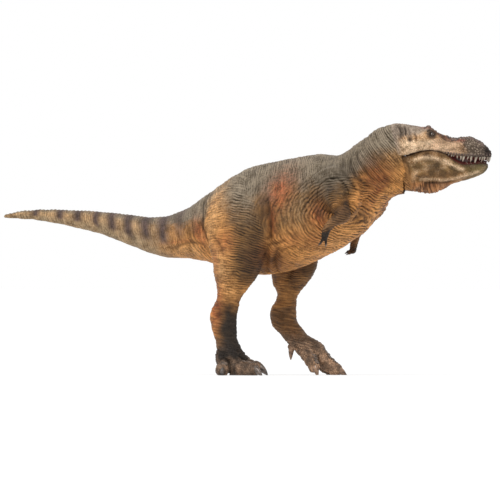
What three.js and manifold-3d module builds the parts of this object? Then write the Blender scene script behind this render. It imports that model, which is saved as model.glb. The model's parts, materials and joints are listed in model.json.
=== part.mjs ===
// A toy figure of a large meat-eating dinosaur, walking on two legs, moulded in vinyl and put together
// from separate castings. Millimetres. X runs towards the head, Y to the animal's left, and Z up. The
// origin is on the ground, under the middle of the figure.

import * as THREE from "three";
import { mergeVertices } from "three/addons/utils/BufferGeometryUtils.js";
import Module from "manifold-3d";

const wasm = await Module();
wasm.setup();

// Sizes of the body.
const spine_length = 266.5; // tail tip to the back of the skull
const back_height = 136; // top of the back above the ground
const trunk_width = 54;
const wall = 2.4; // vinyl wall of the hollow trunk
const clearance = 0.3; // between two castings that are pushed or glued together
const overrun = 6; // how far a cutting shape reaches past what it cuts
const spigot_length = 8; // how far the neck and the tail reach into the trunk
const boss_radius = 3.2; // bosses and pegs that line up the two halves of the trunk
const boss_peg_radius = 1.5;
const boss_peg_length = 3;

// Sizes of the head.
const head_length = 58; // seam behind the skull to the tip of the snout
const head_depth = 43; // top of the skull to the underside of the throat
const head_width = 31.6;
const head_turn = THREE.MathUtils.degToRad(25); // the head looks to its left
const jaw_opening = THREE.MathUtils.degToRad(18);
const jaw_pin_radius = 1.2;
const jaw_pin_length = 18;
const jaw_lug_radius = 3.4;
const jaw_lug_width = 8;
const jaw_lug_height = 11; // above the pin, up into the skull
const neck_peg_radius = 3;
const neck_peg_length = 8;
const jaw_room = 0.45; // between the moving jaw and what it swings past
const gum_radius = 1.1;
const upper_gum_inset = 1.6; // from the side of the head
const lower_gum_inset = 2.9;
const upper_tooth_length = 4;
const lower_tooth_length = 3.2;
const tooth_radius = 0.9;
const eye_radius = 1.9;

// Sizes of the limbs.
const hip_height = 99;
const hip_spread = 44; // between the middles of the two legs
const thigh_length = 42; // front to back
const thigh_width = 25;
const stride_length = 40;
const seat_spread = 28; // between the flat seats of the two thighs
const hip_peg_side = 9;
const hip_peg_length = 8;
const foot_length = 30;
const toe_radius = 3.6;
const claw_radius = 2.1;
const ankle_peg_radius = 3;
const ankle_peg_length = 6;
const shoulder_spread = 48; // between the outer faces of the two shoulder plates
const shoulder_height = 111;
const shoulder_radius = 10.5;
const shoulder_plate = 3; // thickness of the round plate at the top of an arm
const shoulder_dome = 3; // how far the plate bulges outwards
const arm_standoff = 1.6; // between the plate's rim and the arm's inner side
const shoulder_peg_radius = 3;
const shoulder_peg_length = 7;
const arm_length = 34; // shoulder to claw tips
const arm_radius = 5;
const finger_radius = 1.3;

// Stiffening wires, pushed into the soft castings.
const wire_radius = 0.8;

// Counts of facets, rows, teeth and steps.
const trunk_sides = 24;
const limb_sides = 12;
const toe_sides = 8;
const wire_sides = 6;
const trunk_rows = 20;
const tail_rows = 14;
const neck_rows = 9;
const leg_rows = 16;
const head_rows = 13;
const mouth_rows = 7;
const toe_steps = 5;
const claw_steps = 4;
const arm_steps = 9;
const wire_steps = 9;
const gum_steps = 16;
const gum_points = 6;
const jaw_swings = 4;
const upper_tooth_count = 22;
const lower_tooth_count = 18;

// The spine, from the tail tip to the back of the skull: place along the spine, top and bottom as shares
// of the back's height, and width and swing to the left as shares of the trunk's width.
const spine_shares = [
  [0, 0.729, 0.719, 0.03, 0],
  [0.028, 0.743, 0.715, 0.07, 0],
  [0.085, 0.752, 0.707, 0.11, 0],
  [0.146, 0.752, 0.688, 0.15, 0],
  [0.208, 0.748, 0.665, 0.195, 0],
  [0.27, 0.739, 0.632, 0.25, 0],
  [0.331, 0.726, 0.59, 0.33, 0],
  [0.377, 0.718, 0.558, 0.41, 0],
  [0.429, 0.725, 0.536, 0.5, 0],
  [0.48, 0.76, 0.531, 0.6, 0],
  [0.526, 0.815, 0.517, 0.7, 0],
  [0.578, 0.881, 0.492, 0.815, 0],
  [0.624, 0.93, 0.472, 0.905, 0],
  [0.67, 0.958, 0.458, 0.965, 0],
  [0.721, 0.978, 0.47, 1, 0],
  [0.773, 0.994, 0.5, 1, 0],
  [0.824, 1.004, 0.543, 0.965, 0],
  [0.86, 1, 0.577, 0.91, 0],
  [0.891, 1.022, 0.612, 0.84, 0.001],
  [0.92, 1.063, 0.65, 0.76, 0.017],
  [0.948, 1.105, 0.718, 0.685, 0.047],
  [0.975, 1.133, 0.792, 0.63, 0.091],
  [1, 1.146, 0.82, 0.593, 0.146],
  [1.04, 1.152, 0.83, 0.57, 0.21],
];
const widest_share = 0.47; // height of the widest line in a section of the body
const round_share = 0.92; // 1 is an ellipse, and less is a squarer section
const hip_share = 0.642; // place of the hips along the spine
const shoulder_share = 0.888;
const boss_shares = [[0.7, 0.87], [0.76, 0.6], [0.82, 0.9]]; // place and height of the trunk's bosses
const tail_wire_shares = [0.08, 0.14, 0.2, 0.26];
const tail_hollow_share = 0.27; // where the hollow of the tail starts

// Seams between the castings. A seam through the body leans, and passes through one point.
const tail_seam_share = 0.519;
const neck_seam_share = 0.927;
const neck_seam_height_share = 0.88;
const neck_seam_lean = THREE.MathUtils.degToRad(23.4);
const skull_seam_height_share = 0.998; // height of the corner of the mouth
const skull_seam_lean = THREE.MathUtils.degToRad(14.7);
const seam_reach_share = 0.03; // how far a skin is drawn past a seam before it is cut there
const neck_reach_share = 0.06;

// The upper head: place along the head, top and lip above the corner of the mouth, and width.
const skull_shares = [
  [-0.16, 0.44, -0.02, 0.98],
  [0, 0.463, 0, 1],
  [0.086, 0.455, 0.01, 1],
  [0.172, 0.44, 0.045, 0.965],
  [0.267, 0.428, 0.075, 0.9],
  [0.34, 0.428, 0.077, 0.82],
  [0.4, 0.39, 0.072, 0.74],
  [0.45, 0.33, 0.062, 0.67],
  [0.505, 0.292, 0.033, 0.62],
  [0.59, 0.25, 0.012, 0.57],
  [0.675, 0.256, -0.006, 0.55],
  [0.77, 0.262, -0.009, 0.53],
  [0.857, 0.215, -0.014, 0.475],
  [0.932, 0.135, -0.016, 0.37],
  [0.98, 0.055, -0.016, 0.23],
  [1, 0.015, -0.016, 0.08],
];
const skull_widest_share = 0.35;

// The lower head with the throat: place, lip and underside above the corner of the mouth, and width.
const jaw_shares = [
  [-0.1, -0.02, -0.56, 0.7],
  [0.02, -0.015, -0.556, 0.73],
  [0.097, -0.006, -0.552, 0.77],
  [0.172, 0.028, -0.547, 0.82],
  [0.267, 0.058, -0.537, 0.84],
  [0.375, 0.058, -0.532, 0.78],
  [0.44, 0.046, -0.5, 0.7],
  [0.505, 0.014, -0.46, 0.63],
  [0.568, -0.058, -0.405, 0.57],
  [0.622, -0.104, -0.38, 0.53],
  [0.675, -0.13, -0.362, 0.51],
  [0.77, -0.132, -0.325, 0.485],
  [0.868, -0.125, -0.276, 0.42],
  [0.932, -0.122, -0.225, 0.335],
  [0.98, -0.124, -0.165, 0.18],
];
const jaw_widest_share = 0.62;
const jaw_hinge_share = 0.086; // place of the hinge along the head
const jaw_hinge_height_share = -0.072;

// The hollow of the mouth in the lower and the upper head: place, depth from the corner, and width.
const mouth_floor_shares = [
  [-0.2, 0.2, 0.32],
  [0.12, 0.2, 0.32],
  [0.25, 0.17, 0.34],
  [0.5, 0.2, 0.26],
  [0.7, 0.22, 0.21],
  [0.84, 0.2, 0.15],
];
const palate_shares = [
  [0.14, 0.1, 0.16],
  [0.25, 0.15, 0.3],
  [0.5, 0.13, 0.26],
  [0.7, 0.1, 0.21],
  [0.84, 0.06, 0.13],
];

const tongue_shares = [0.28, 0.8]; // where it starts and ends
const tongue_height_share = -0.125;
const upper_gum_shares = [0.56, 0.955];
const lower_gum_shares = [0.62, 0.93];
const short_tooth_share = 0.72;
const tooth_tip_share = 0.15;
const neck_peg_height_share = 0.2;
const throat_face_share = 0.05;
const pocket_reach_share = 1.06; // of the jaw's swing

// Eye: place along the head, height above the corner of the mouth, and distance from the middle.
const eye_place_share = 0.353;
const eye_height_share = 0.3;
const eye_side_share = 0.325;

// Legs, from the ankle up: height as a share of the hips', place ahead of the hips as a share of the
// stride, length and width as shares of the thigh's.
const right_leg_shares = [
  [0.05, -0.12, 0.32, 0.46],
  [0.094, -0.117, 0.45, 0.62],
  [0.144, -0.139, 0.41, 0.6],
  [0.194, -0.173, 0.342, 0.55],
  [0.244, -0.213, 0.34, 0.5],
  [0.294, -0.24, 0.385, 0.48],
  [0.357, -0.252, 0.425, 0.48],
  [0.413, -0.224, 0.42, 0.5],
  [0.482, -0.155, 0.36, 0.52],
  [0.545, -0.088, 0.49, 0.62],
  [0.626, -0.033, 0.68, 0.76],
  [0.72, 0.006, 0.8, 0.88],
  [0.814, 0.016, 0.97, 1],
  [0.908, 0.007, 1.02, 1],
  [1, -0.015, 1, 0.98],
  [1.095, -0.005, 0.847, 0.86],
  [1.17, 0, 0.53, 0.58],
];
const left_leg_shares = [
  [0.1, 0.81, 0.27, 0.45],
  [0.125, 0.775, 0.39, 0.58],
  [0.163, 0.71, 0.46, 0.64],
  [0.208, 0.605, 0.49, 0.6],
  [0.257, 0.435, 0.415, 0.52],
  [0.301, 0.326, 0.431, 0.48],
  [0.338, 0.272, 0.402, 0.48],
  [0.382, 0.257, 0.409, 0.48],
  [0.42, 0.275, 0.38, 0.48],
  [0.47, 0.318, 0.312, 0.46],
  [0.514, 0.344, 0.341, 0.5],
  [0.564, 0.369, 0.502, 0.64],
  [0.633, 0.418, 0.664, 0.8],
  [0.708, 0.435, 0.726, 0.88],
  [0.814, 0.24, 0.93, 0.98],
  [0.908, 0.1, 0.96, 1],
  [1, 0.02, 0.95, 0.98],
  [1.095, -0.01, 0.8, 0.86],
  [1.17, -0.02, 0.47, 0.58],
];

// Where a foot is joined to its leg: height and place as above, and how far the joint leans.
const right_ankle_share = 0.225;
const right_ankle_place_share = -0.2;
const right_ankle_lean = THREE.MathUtils.degToRad(19);
const left_ankle_share = 0.42;
const left_ankle_place_share = 0.275;
const left_ankle_lean = THREE.MathUtils.degToRad(-10);

// Toes of each foot, the small hind toe last. A row of a toe's path is a place ahead of the root of the
// toes, outside it and above the ground, in shares of the foot's length, and a thickness as a share of the
// toe's radius. The tip is that of its claw.
const planted_toe_shares = [
  {
    path: [
      [-0.2, 0.03, 0.4, 1.2],
      [-0.2, 0.1, 0.13, 1.2],
      [-0.12, 0.3, 0.12, 1.2],
      [-0.05, 0.46, 0.105, 1],
    ],
    tip: [0.01, 0.61, 0.01],
  },
  {
    path: [
      [-0.04, 0, 0.42, 1.3],
      [0.02, 0.06, 0.16, 1.6],
      [0.32, 0.2, 0.13, 1.35],
      [0.57, 0.32, 0.11, 1.2],
    ],
    tip: [0.73, 0.42, 0.01],
  },
  {
    path: [[0, -0.08, 0.42, 1.15], [0.28, -0.07, 0.2, 1.15], [0.5, -0.05, 0.15, 1.1]],
    tip: [0.75, -0.04, 0.04],
  },
  {
    path: [[-0.24, -0.1, 0.42, 0.7], [-0.23, -0.25, 0.33, 0.62], [-0.21, -0.31, 0.25, 0.6]],
    tip: [-0.18, -0.35, 0.13],
  },
];
const stepping_toe_shares = [
  {
    path: [[-0.05, 0.05, 0.5, 1.15], [0.17, 0.17, 0.24, 1.1], [0.36, 0.3, 0.07, 0.95]],
    tip: [0.52, 0.4, 0.01],
  },
  {
    path: [[-0.05, 0, 0.56, 1.3], [0.15, 0, 0.47, 1.4], [0.36, 0, 0.26, 1.3], [0.58, 0, 0.11, 1.15]],
    tip: [0.79, 0, 0.01],
  },
  {
    path: [[-0.08, -0.14, 0.52, 1.2], [0.12, -0.24, 0.33, 1.15], [0.24, -0.32, 0.17, 1]],
    tip: [0.35, -0.4, 0.01],
  },
  {
    path: [[-0.26, -0.1, 0.8, 0.75], [-0.29, -0.2, 0.68, 0.7], [-0.3, -0.24, 0.57, 0.6]],
    tip: [-0.31, -0.27, 0.38],
  },
];
const leg_wire_shares = [0.86, 0.72, 0.58, 0.48];
const hip_peg_height_share = 0.95;
const toe_nose_share = 0.6; // thickness of a toe's blunt end
const right_toe_root_share = -0.07;
const left_toe_root_share = 0.717;
const claw_tip_share = 0.2; // of a claw's radius at its root
const claw_arch_share = 0.45; // rise of a claw's bend over its reach

// Arms: place ahead of the shoulder, below it and outside its plate as shares of the arm's length, and
// thickness as a share of the arm's radius.
const right_arm_shares = [
  [0.04, -0.075, 0, 1.3],
  [0.217, -0.275, 0.075, 1.06],
  [0.25, -0.385, 0.1, 0.85],
  [0.065, -0.475, 0.13, 0.6],
  [-0.056, -0.6, 0.13, 0.48],
  [-0.1, -0.73, 0.13, 0.46],
];
const left_arm_shares = [
  [-0.08, -0.075, 0, 1.3],
  [-0.127, -0.33, 0.06, 1],
  [-0.18, -0.547, 0.09, 0.75],
  [-0.25, -0.8, 0.09, 0.48],
  [-0.28, -0.967, 0.09, 0.42],
  [-0.29, -1.01, 0.09, 0.42],
];

// Fingers: where the two claws of a hand end, as a place ahead of the shoulder, below it and outside the
// wrist, and the thickness at the root, the middle and the tip as shares of the finger's radius.
const right_claw_shares = [
  [-0.19, -0.91, 0.03],
  [-0.08, -0.92, -0.02],
];
const left_claw_shares = [
  [-0.45, -1.05, 0.03],
  [-0.36, -1.08, -0.02],
];
const finger_taper_shares = [1, 0.8, 0.25];

// Colours and finish.
const hide = new THREE.MeshStandardMaterial({ color: 0x8a7a5c, roughness: 0.7, metalness: 0 });
const dark_hide = new THREE.MeshStandardMaterial({ color: 0x5f5848, roughness: 0.7, metalness: 0 });
const bone = new THREE.MeshStandardMaterial({ color: 0xd8cdb0, roughness: 0.35, metalness: 0 });
const flesh = new THREE.MeshStandardMaterial({ color: 0xa4574c, roughness: 0.4, metalness: 0 });
const eye_gloss = new THREE.MeshStandardMaterial({ color: 0x2a1c10, roughness: 0.08, metalness: 0 });
const steel = new THREE.MeshStandardMaterial({ color: 0x9a9da0, roughness: 0.35, metalness: 1 });

// Reads a table of shares at a place between its rows.
function rowAt(table, place) {
  const places = table.map((row) => row[0]);
  const values = table.flatMap((row) => row.slice(1));
  const columns = table[0].length - 1;
  const reader = new THREE.CubicInterpolant(places, values, columns, new Float64Array(columns));
  return [...reader.evaluate(place)];
}

// Makes a solid from a closed indexed geometry.
function solidOf(geometry) {
  const bare = new THREE.BufferGeometry();
  bare.setAttribute("position", geometry.getAttribute("position"));
  bare.setIndex(geometry.index);
  const merged = mergeVertices(bare);
  const mesh = new wasm.Mesh({
    numProp: 3,
    vertProperties: new Float32Array(merged.attributes.position.array),
    triVerts: new Uint32Array(merged.index.array),
  });
  return new wasm.Manifold(mesh);
}

// Skins a row of rings, each counterclockwise seen from the end, and closes both ends.
function loft(rings) {
  const sides = rings[0].length;
  const middle = (ring) => {
    const sum = new THREE.Vector3();
    ring.forEach((point) => sum.add(point));
    return sum.divideScalar(sides);
  };
  const points = [...rings.flat(), middle(rings[0]), middle(rings.at(-1))];
  const first = points.length - 2;
  const last = points.length - 1;
  const top = (rings.length - 1) * sides;
  const faces = [];
  for (let side = 0; side < sides; side += 1) {
    const next = (side + 1) % sides;
    for (let row = 0; row < top; row += sides) {
      faces.push(row + side, row + next, row + sides + next);
      faces.push(row + side, row + sides + next, row + sides + side);
    }
    faces.push(first, next, side);
    faces.push(last, top + side, top + next);
  }
  const geometry = new THREE.BufferGeometry().setFromPoints(points);
  geometry.setIndex(faces);
  return solidOf(geometry);
}

// A power that keeps its sign, for squarish sections.
function bulge(value, power) {
  return Math.sign(value) * Math.abs(value) ** power;
}

// A section across X: its widest line lies at zero side, and its top and bottom may differ.
function uprightRing(x, y, middle, half_width, rise, drop, squareness) {
  return Array.from({ length: trunk_sides }, (_, side) => {
    const angle = (side / trunk_sides) * 2 * Math.PI;
    const across = bulge(Math.cos(angle), squareness);
    const up = bulge(Math.sin(angle), squareness);
    return new THREE.Vector3(x, y + half_width * across, middle + (up > 0 ? rise : drop) * up);
  });
}

// The body's skin between two places along the spine, moved out by an offset.
function bodyRing(place, offset) {
  const [top_share, bottom_share, width_share, sway_share] = rowAt(spine_shares, place);
  const top = top_share * back_height;
  const bottom = bottom_share * back_height;
  const middle = bottom + widest_share * (top - bottom);
  const half_width = (width_share * trunk_width) / 2 + offset;
  const sway = sway_share * trunk_width;
  const rise = top - middle + offset;
  const drop = middle - bottom + offset;
  return uprightRing(place * spine_length, sway, middle, half_width, rise, drop, round_share);
}

function body(from, to, rows, offset) {
  const step = (to - from) / rows;
  return loft(Array.from({ length: rows + 1 }, (_, row) => bodyRing(from + row * step, offset)));
}

// A tube of changing thickness along a smooth path.
function tube(path, radii, sides, steps) {
  const curve = new THREE.CatmullRomCurve3(path);
  const frames = curve.computeFrenetFrames(steps, false);
  const rings = [];
  for (let step = 0; step <= steps; step += 1) {
    const along = step / steps;
    const centre = curve.getPoint(along);
    const spot = along * (radii.length - 1);
    const before = Math.min(Math.floor(spot), radii.length - 2);
    const radius = THREE.MathUtils.lerp(radii[before], radii[before + 1], spot - before);
    rings.push(
      Array.from({ length: sides }, (_, side) => {
        const angle = (side / sides) * 2 * Math.PI;
        return centre
          .clone()
          .addScaledVector(frames.normals[step], radius * Math.cos(angle))
          .addScaledVector(frames.binormals[step], radius * Math.sin(angle));
      }),
    );
  }
  return loft(rings);
}

// A cylinder between two points.
function rod(from, to, radius, sides) {
  const axis = new THREE.Vector3().subVectors(to, from);
  const geometry = new THREE.CylinderGeometry(radius, radius, axis.length(), sides);
  const turn = new THREE.Quaternion().setFromUnitVectors(
    new THREE.Vector3(0, 1, 0),
    axis.clone().normalize(),
  );
  const centre = new THREE.Vector3().addVectors(from, to).divideScalar(2);
  geometry.applyQuaternion(turn);
  geometry.translate(centre.x, centre.y, centre.z);
  return solidOf(geometry);
}

// A block between two corners.
function block(low, high) {
  const size = new THREE.Vector3().subVectors(high, low);
  const geometry = new THREE.BoxGeometry(size.x, size.y, size.z);
  geometry.translate((low.x + high.x) / 2, (low.y + high.y) / 2, (low.z + high.z) / 2);
  return solidOf(geometry);
}

// Keeps the part of a solid on the side of a plane that its normal points to.
function keepBeyond(solid, point, normal) {
  return solid.trimByPlane([normal.x, normal.y, normal.z], point.dot(normal));
}

function joined(solids) {
  return solids.reduce((whole, solid) => whole.add(solid));
}

function meshOf(name, solid, material) {
  const made = solid.getMesh();
  const geometry = new THREE.BufferGeometry();
  geometry.setAttribute("position", new THREE.BufferAttribute(made.vertProperties, made.numProp));
  geometry.setIndex(new THREE.BufferAttribute(made.triVerts, 1));
  geometry.computeVertexNormals();
  const mesh = new THREE.Mesh(geometry, material);
  mesh.name = name;
  return mesh;
}

const figure = new THREE.Group();

// Seam planes of the body. Each normal points forwards.
const tail_seam_point = new THREE.Vector3(tail_seam_share * spine_length, 0, 0);
const forward = new THREE.Vector3(1, 0, 0);
const neck_seam_point = new THREE.Vector3(
  neck_seam_share * spine_length,
  0,
  neck_seam_height_share * back_height,
);
const neck_seam_normal = new THREE.Vector3(Math.cos(neck_seam_lean), 0, Math.sin(neck_seam_lean));

// Frame of the head: at the corner of the mouth, turned to the left.
const [, , , neck_end_sway_share] = rowAt(spine_shares, 1);
const head_place = new THREE.Vector3(
  spine_length,
  neck_end_sway_share * trunk_width,
  skull_seam_height_share * back_height,
);
const head_matrix = new THREE.Matrix4().makeRotationZ(head_turn).setPosition(head_place);
const skull_seam_normal = new THREE.Vector3(Math.cos(skull_seam_lean), 0, Math.sin(skull_seam_lean));
const skull_seam_out = skull_seam_normal.clone().applyAxisAngle(new THREE.Vector3(0, 0, 1), head_turn);

// Moves a point along a seam's normal.
function shifted(point, normal, distance) {
  return point.clone().addScaledVector(normal, distance);
}

// LEGS
const legs = {
  right: {
    side: -1,
    table: right_leg_shares,
    toes: planted_toe_shares,
    toe_root_share: right_toe_root_share,
    ankle_share: right_ankle_share,
    ankle_place_share: right_ankle_place_share,
    lean: right_ankle_lean,
  },
  left: {
    side: 1,
    table: left_leg_shares,
    toes: stepping_toe_shares,
    toe_root_share: left_toe_root_share,
    ankle_share: left_ankle_share,
    ankle_place_share: left_ankle_place_share,
    lean: left_ankle_lean,
  },
};
const hip_x = hip_share * spine_length;

function legPoint(leg, place_share, height_share, outward = 0) {
  return new THREE.Vector3(
    hip_x + place_share * stride_length,
    leg.side * (hip_spread / 2 + outward),
    height_share * hip_height,
  );
}

// The middle of a leg at a height.
function legMiddle(leg, height_share) {
  return legPoint(leg, rowAt(leg.table, height_share)[0], height_share);
}

function legRing(leg, height_share, offset) {
  const [, length_share, width_share] = rowAt(leg.table, height_share);
  const along = (length_share * thigh_length) / 2 + offset;
  const across = (width_share * thigh_width) / 2 + offset;
  return Array.from({ length: limb_sides }, (_, side) => {
    const angle = (side / limb_sides) * 2 * Math.PI;
    const rim = new THREE.Vector3(along * Math.cos(angle), across * Math.sin(angle), 0);
    return rim.add(legMiddle(leg, height_share));
  });
}

function legShape(leg, offset) {
  const low = leg.table[0][0];
  const step = (leg.table.at(-1)[0] - low) / leg_rows;
  const rings = Array.from({ length: leg_rows + 1 }, (_, row) => legRing(leg, low + row * step, offset));
  rings.at(-1).forEach((point) => {
    point.z += offset;
  });
  return loft(rings);
}

// Toes with their claws.
function toesOf(leg) {
  const at = ([ahead, outward, height]) => {
    const point = legPoint(leg, leg.toe_root_share, 0, outward * foot_length);
    point.x += ahead * foot_length;
    point.z = height * foot_length;
    return point;
  };
  return joined(
    leg.toes.flatMap((toe) => {
      const path = toe.path.map(at);
      const radii = toe.path.map((row) => row[3] * toe_radius);
      const end = path.at(-1);
      const way = new THREE.Vector3().subVectors(end, path.at(-2)).normalize();
      const nose = shifted(end, way, radii.at(-1) / 2);
      const pad = tube([...path, nose], [...radii, radii.at(-1) * toe_nose_share], toe_sides, toe_steps);
      const tip = at(toe.tip);
      const crook = new THREE.Vector3().addVectors(end, tip).divideScalar(2);
      const size = claw_radius * radii.at(-1) / toe_radius;
      crook.z += Math.hypot(tip.x - end.x, tip.y - end.y) * claw_arch_share;
      const claw = tube([end, crook, tip], [size, size, size * claw_tip_share], wire_sides, claw_steps);
      return [pad, claw];
    }),
  );
}

// The body between the two seams and a little beyond, moved out by an offset.
function trunkShape(offset) {
  return body(tail_seam_share - seam_reach_share, 1, trunk_rows, offset);
}

const trunk_reach = trunkShape(clearance);

function legParts(name, leg) {
  const outward = new THREE.Vector3(0, leg.side, 0);
  const inward = outward.clone().negate();
  const seat = outward.clone().multiplyScalar(seat_spread / 2);
  const ankle = legPoint(leg, leg.ankle_place_share, leg.ankle_share);
  const up = new THREE.Vector3(Math.sin(leg.lean), 0, Math.cos(leg.lean));
  const down = up.clone().negate();

  // A square peg keys the thigh to the trunk.
  const hip = legMiddle(leg, hip_peg_height_share);
  const peg = (gap) => {
    const half = hip_peg_side / 2 + gap;
    const ends = [seat_spread / 2 - hip_peg_length - gap, seat_spread / 2 + overrun];
    const [near, far] = ends.map((end) => leg.side * end).sort((one, other) => one - other);
    return block(
      new THREE.Vector3(hip.x - half, near, hip.z - half),
      new THREE.Vector3(hip.x + half, far, hip.z + half),
    );
  };

  // A round peg carries the foot.
  const ankle_peg = rod(
    shifted(ankle, down, ankle_peg_radius),
    shifted(ankle, up, ankle_peg_length),
    ankle_peg_radius,
    toe_sides,
  );
  const ankle_socket = rod(
    shifted(ankle, down, overrun),
    shifted(ankle, up, ankle_peg_length + clearance),
    ankle_peg_radius + clearance,
    toe_sides,
  );

  // A wire runs from the thigh through the ankle.
  const wire_path = [...leg_wire_shares.map((height_share) => legMiddle(leg, height_share)), ankle];
  wire_path.push(shifted(ankle, down, ankle_peg_length));
  const wireTube = (gap) => {
    const radius = wire_radius + gap;
    return tube(wire_path, [radius, radius], wire_sides, wire_steps);
  };
  const bore_end = rod(
    wire_path.at(-1),
    shifted(wire_path.at(-1), down, clearance),
    wire_radius + clearance,
    wire_sides,
  );
  const bore = wireTube(clearance).add(bore_end);

  const shape = legShape(leg, 0);
  const inside = keepBeyond(trunk_reach, shifted(seat, outward, clearance), inward);
  const thigh = keepBeyond(shape, shifted(ankle, up, clearance), up).subtract(inside);
  const leg_solid = thigh.add(peg(0)).subtract(ankle_socket).subtract(bore);
  const foot_whole = joined([keepBeyond(shape, ankle, down), toesOf(leg), ankle_peg]).subtract(bore);
  const foot_solid = keepBeyond(foot_whole, new THREE.Vector3(), new THREE.Vector3(0, 0, 1));
  figure.add(meshOf(`${name}_leg`, leg_solid, hide));
  figure.add(meshOf(`${name}_foot`, foot_solid, dark_hide));
  figure.add(meshOf(`${name}_leg_wire`, wireTube(0), steel));

  // The room that the leg takes in the trunk, grown by a gap.
  return (gap) => {
    const room = legShape(leg, clearance + gap);
    return keepBeyond(room, shifted(seat, inward, gap), outward).add(peg(clearance + gap));
  };
}

// ARMS, each with a round plate that turns in the trunk's side.
const arms = {
  right: { side: -1, table: right_arm_shares, claws: right_claw_shares },
  left: { side: 1, table: left_arm_shares, claws: left_claw_shares },
};

function armParts(name, arm) {
  const outward = new THREE.Vector3(0, arm.side, 0);
  const inward = outward.clone().negate();
  const shoulder = new THREE.Vector3(
    shoulder_share * spine_length,
    (arm.side * shoulder_spread) / 2,
    shoulder_height,
  );
  const at = ([ahead, above, outside]) =>
    new THREE.Vector3(
      shoulder.x + ahead * arm_length,
      shoulder.y + arm.side * outside * arm_length,
      shoulder.z + above * arm_length,
    );
  const path = arm.table.map(at);
  const radii = arm.table.map((row) => row[3] * arm_radius);
  const limb = keepBeyond(
    tube(path, radii, limb_sides, arm_steps),
    shifted(shoulder, outward, arm_standoff),
    outward,
  );
  const wrist = path.at(-1);
  const finger_radii = finger_taper_shares.map((taper) => taper * finger_radius);
  const fingers = arm.claws.map(([ahead, above, outside]) => {
    const tip = at([ahead, above, 0]);
    tip.y = wrist.y + arm.side * outside * arm_length;
    const knuckle = new THREE.Vector3().addVectors(wrist, tip).divideScalar(2);
    knuckle.z -= finger_radius / 2;
    return tube([wrist, knuckle, tip], finger_radii, wire_sides, claw_steps);
  });

  const plate_end = shifted(shoulder, inward, shoulder_plate);
  const peg_end = shifted(plate_end, inward, shoulder_peg_length);
  const plate = rod(shoulder, plate_end, shoulder_radius, trunk_sides);
  const peg = rod(shoulder, peg_end, shoulder_peg_radius, limb_sides);
  const dome_shape = new THREE.SphereGeometry(shoulder_radius, trunk_sides, toe_sides);
  dome_shape.scale(1, shoulder_dome / shoulder_radius, 1);
  dome_shape.translate(shoulder.x, shoulder.y, shoulder.z);
  const dome = keepBeyond(solidOf(dome_shape), shoulder, outward);
  figure.add(meshOf(`${name}_arm`, joined([limb, ...fingers, plate, dome, peg]), dark_hide));

  // The room that the arm takes in the trunk, grown by a gap.
  const outside = shifted(shoulder, outward, overrun);
  return (gap) => {
    const depth = clearance + gap;
    const plate_floor = shifted(plate_end, inward, depth);
    const peg_floor = shifted(peg_end, inward, depth);
    const peg_hole = rod(outside, peg_floor, shoulder_peg_radius + depth, limb_sides);
    return rod(outside, plate_floor, shoulder_radius + depth, trunk_sides).add(peg_hole);
  };
}

const limb_rooms = [
  legParts("right", legs.right),
  legParts("left", legs.left),
  armParts("right", arms.right),
  armParts("left", arms.left),
];

// Takes the rooms of all four limbs, grown by a gap, out of a solid.
function clearOfLimbs(solid, gap) {
  return limb_rooms.reduce((rest, room) => rest.subtract(room(gap)), solid);
}

// TRUNK: a hollow shell in two halves, open where the neck and the tail go in. Pegs on one half fit
// bosses on the other.
const backward = forward.clone().negate();
const neck_seam_back = neck_seam_normal.clone().negate();

function betweenSeams(solid) {
  return keepBeyond(keepBeyond(solid, neck_seam_point, neck_seam_back), tail_seam_point, forward);
}

const trunk_skin = betweenSeams(trunkShape(0));
const hollow = clearOfLimbs(trunkShape(-wall), wall);
const plug = clearOfLimbs(trunkShape(-wall - clearance), wall + clearance);
const to_left = new THREE.Vector3(0, 1, 0);
const to_right = to_left.clone().negate();
const boss_spots = boss_shares.map(
  ([place, height]) => new THREE.Vector3(place * spine_length, 0, height * back_height),
);

// A row of cylinders across the trunk, from a plane beside the middle outwards.
function crossRods(radius, from, to) {
  return joined(
    boss_spots.map((spot) => {
      return rod(shifted(spot, to_left, from), shifted(spot, to_left, to), radius, toe_sides);
    }),
  );
}

const bosses = crossRods(boss_radius, -trunk_width, trunk_width).intersect(trunk_skin);
const trunk = clearOfLimbs(trunk_skin.subtract(hollow).add(bosses), 0);
const pegs = crossRods(boss_peg_radius, -boss_peg_length, boss_peg_length);
const peg_holes = crossRods(
  boss_peg_radius + clearance,
  -overrun,
  boss_peg_length + clearance,
);
const spine_plane = new THREE.Vector3();
const left_half = keepBeyond(trunk, spine_plane, to_left).subtract(peg_holes);
const right_half = keepBeyond(trunk, spine_plane, to_right).add(pegs);
figure.add(meshOf("torso_left_half", left_half, hide));
figure.add(meshOf("torso_right_half", right_half, hide));

// TAIL: one casting with a spigot that fills the trunk's open end, and a wire inside.
const tail_end = shifted(tail_seam_point, backward, clearance);
const tail_whole = body(0, tail_seam_share + seam_reach_share, tail_rows, 0);
const tail_skin = keepBeyond(tail_whole, tail_end, backward);
const tail_spigot = keepBeyond(plug, shifted(tail_seam_point, forward, spigot_length), backward);

function spineMiddle(place) {
  const [top_share, bottom_share] = rowAt(spine_shares, place);
  return new THREE.Vector3(place * spine_length, 0, ((top_share + bottom_share) / 2) * back_height);
}

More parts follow.
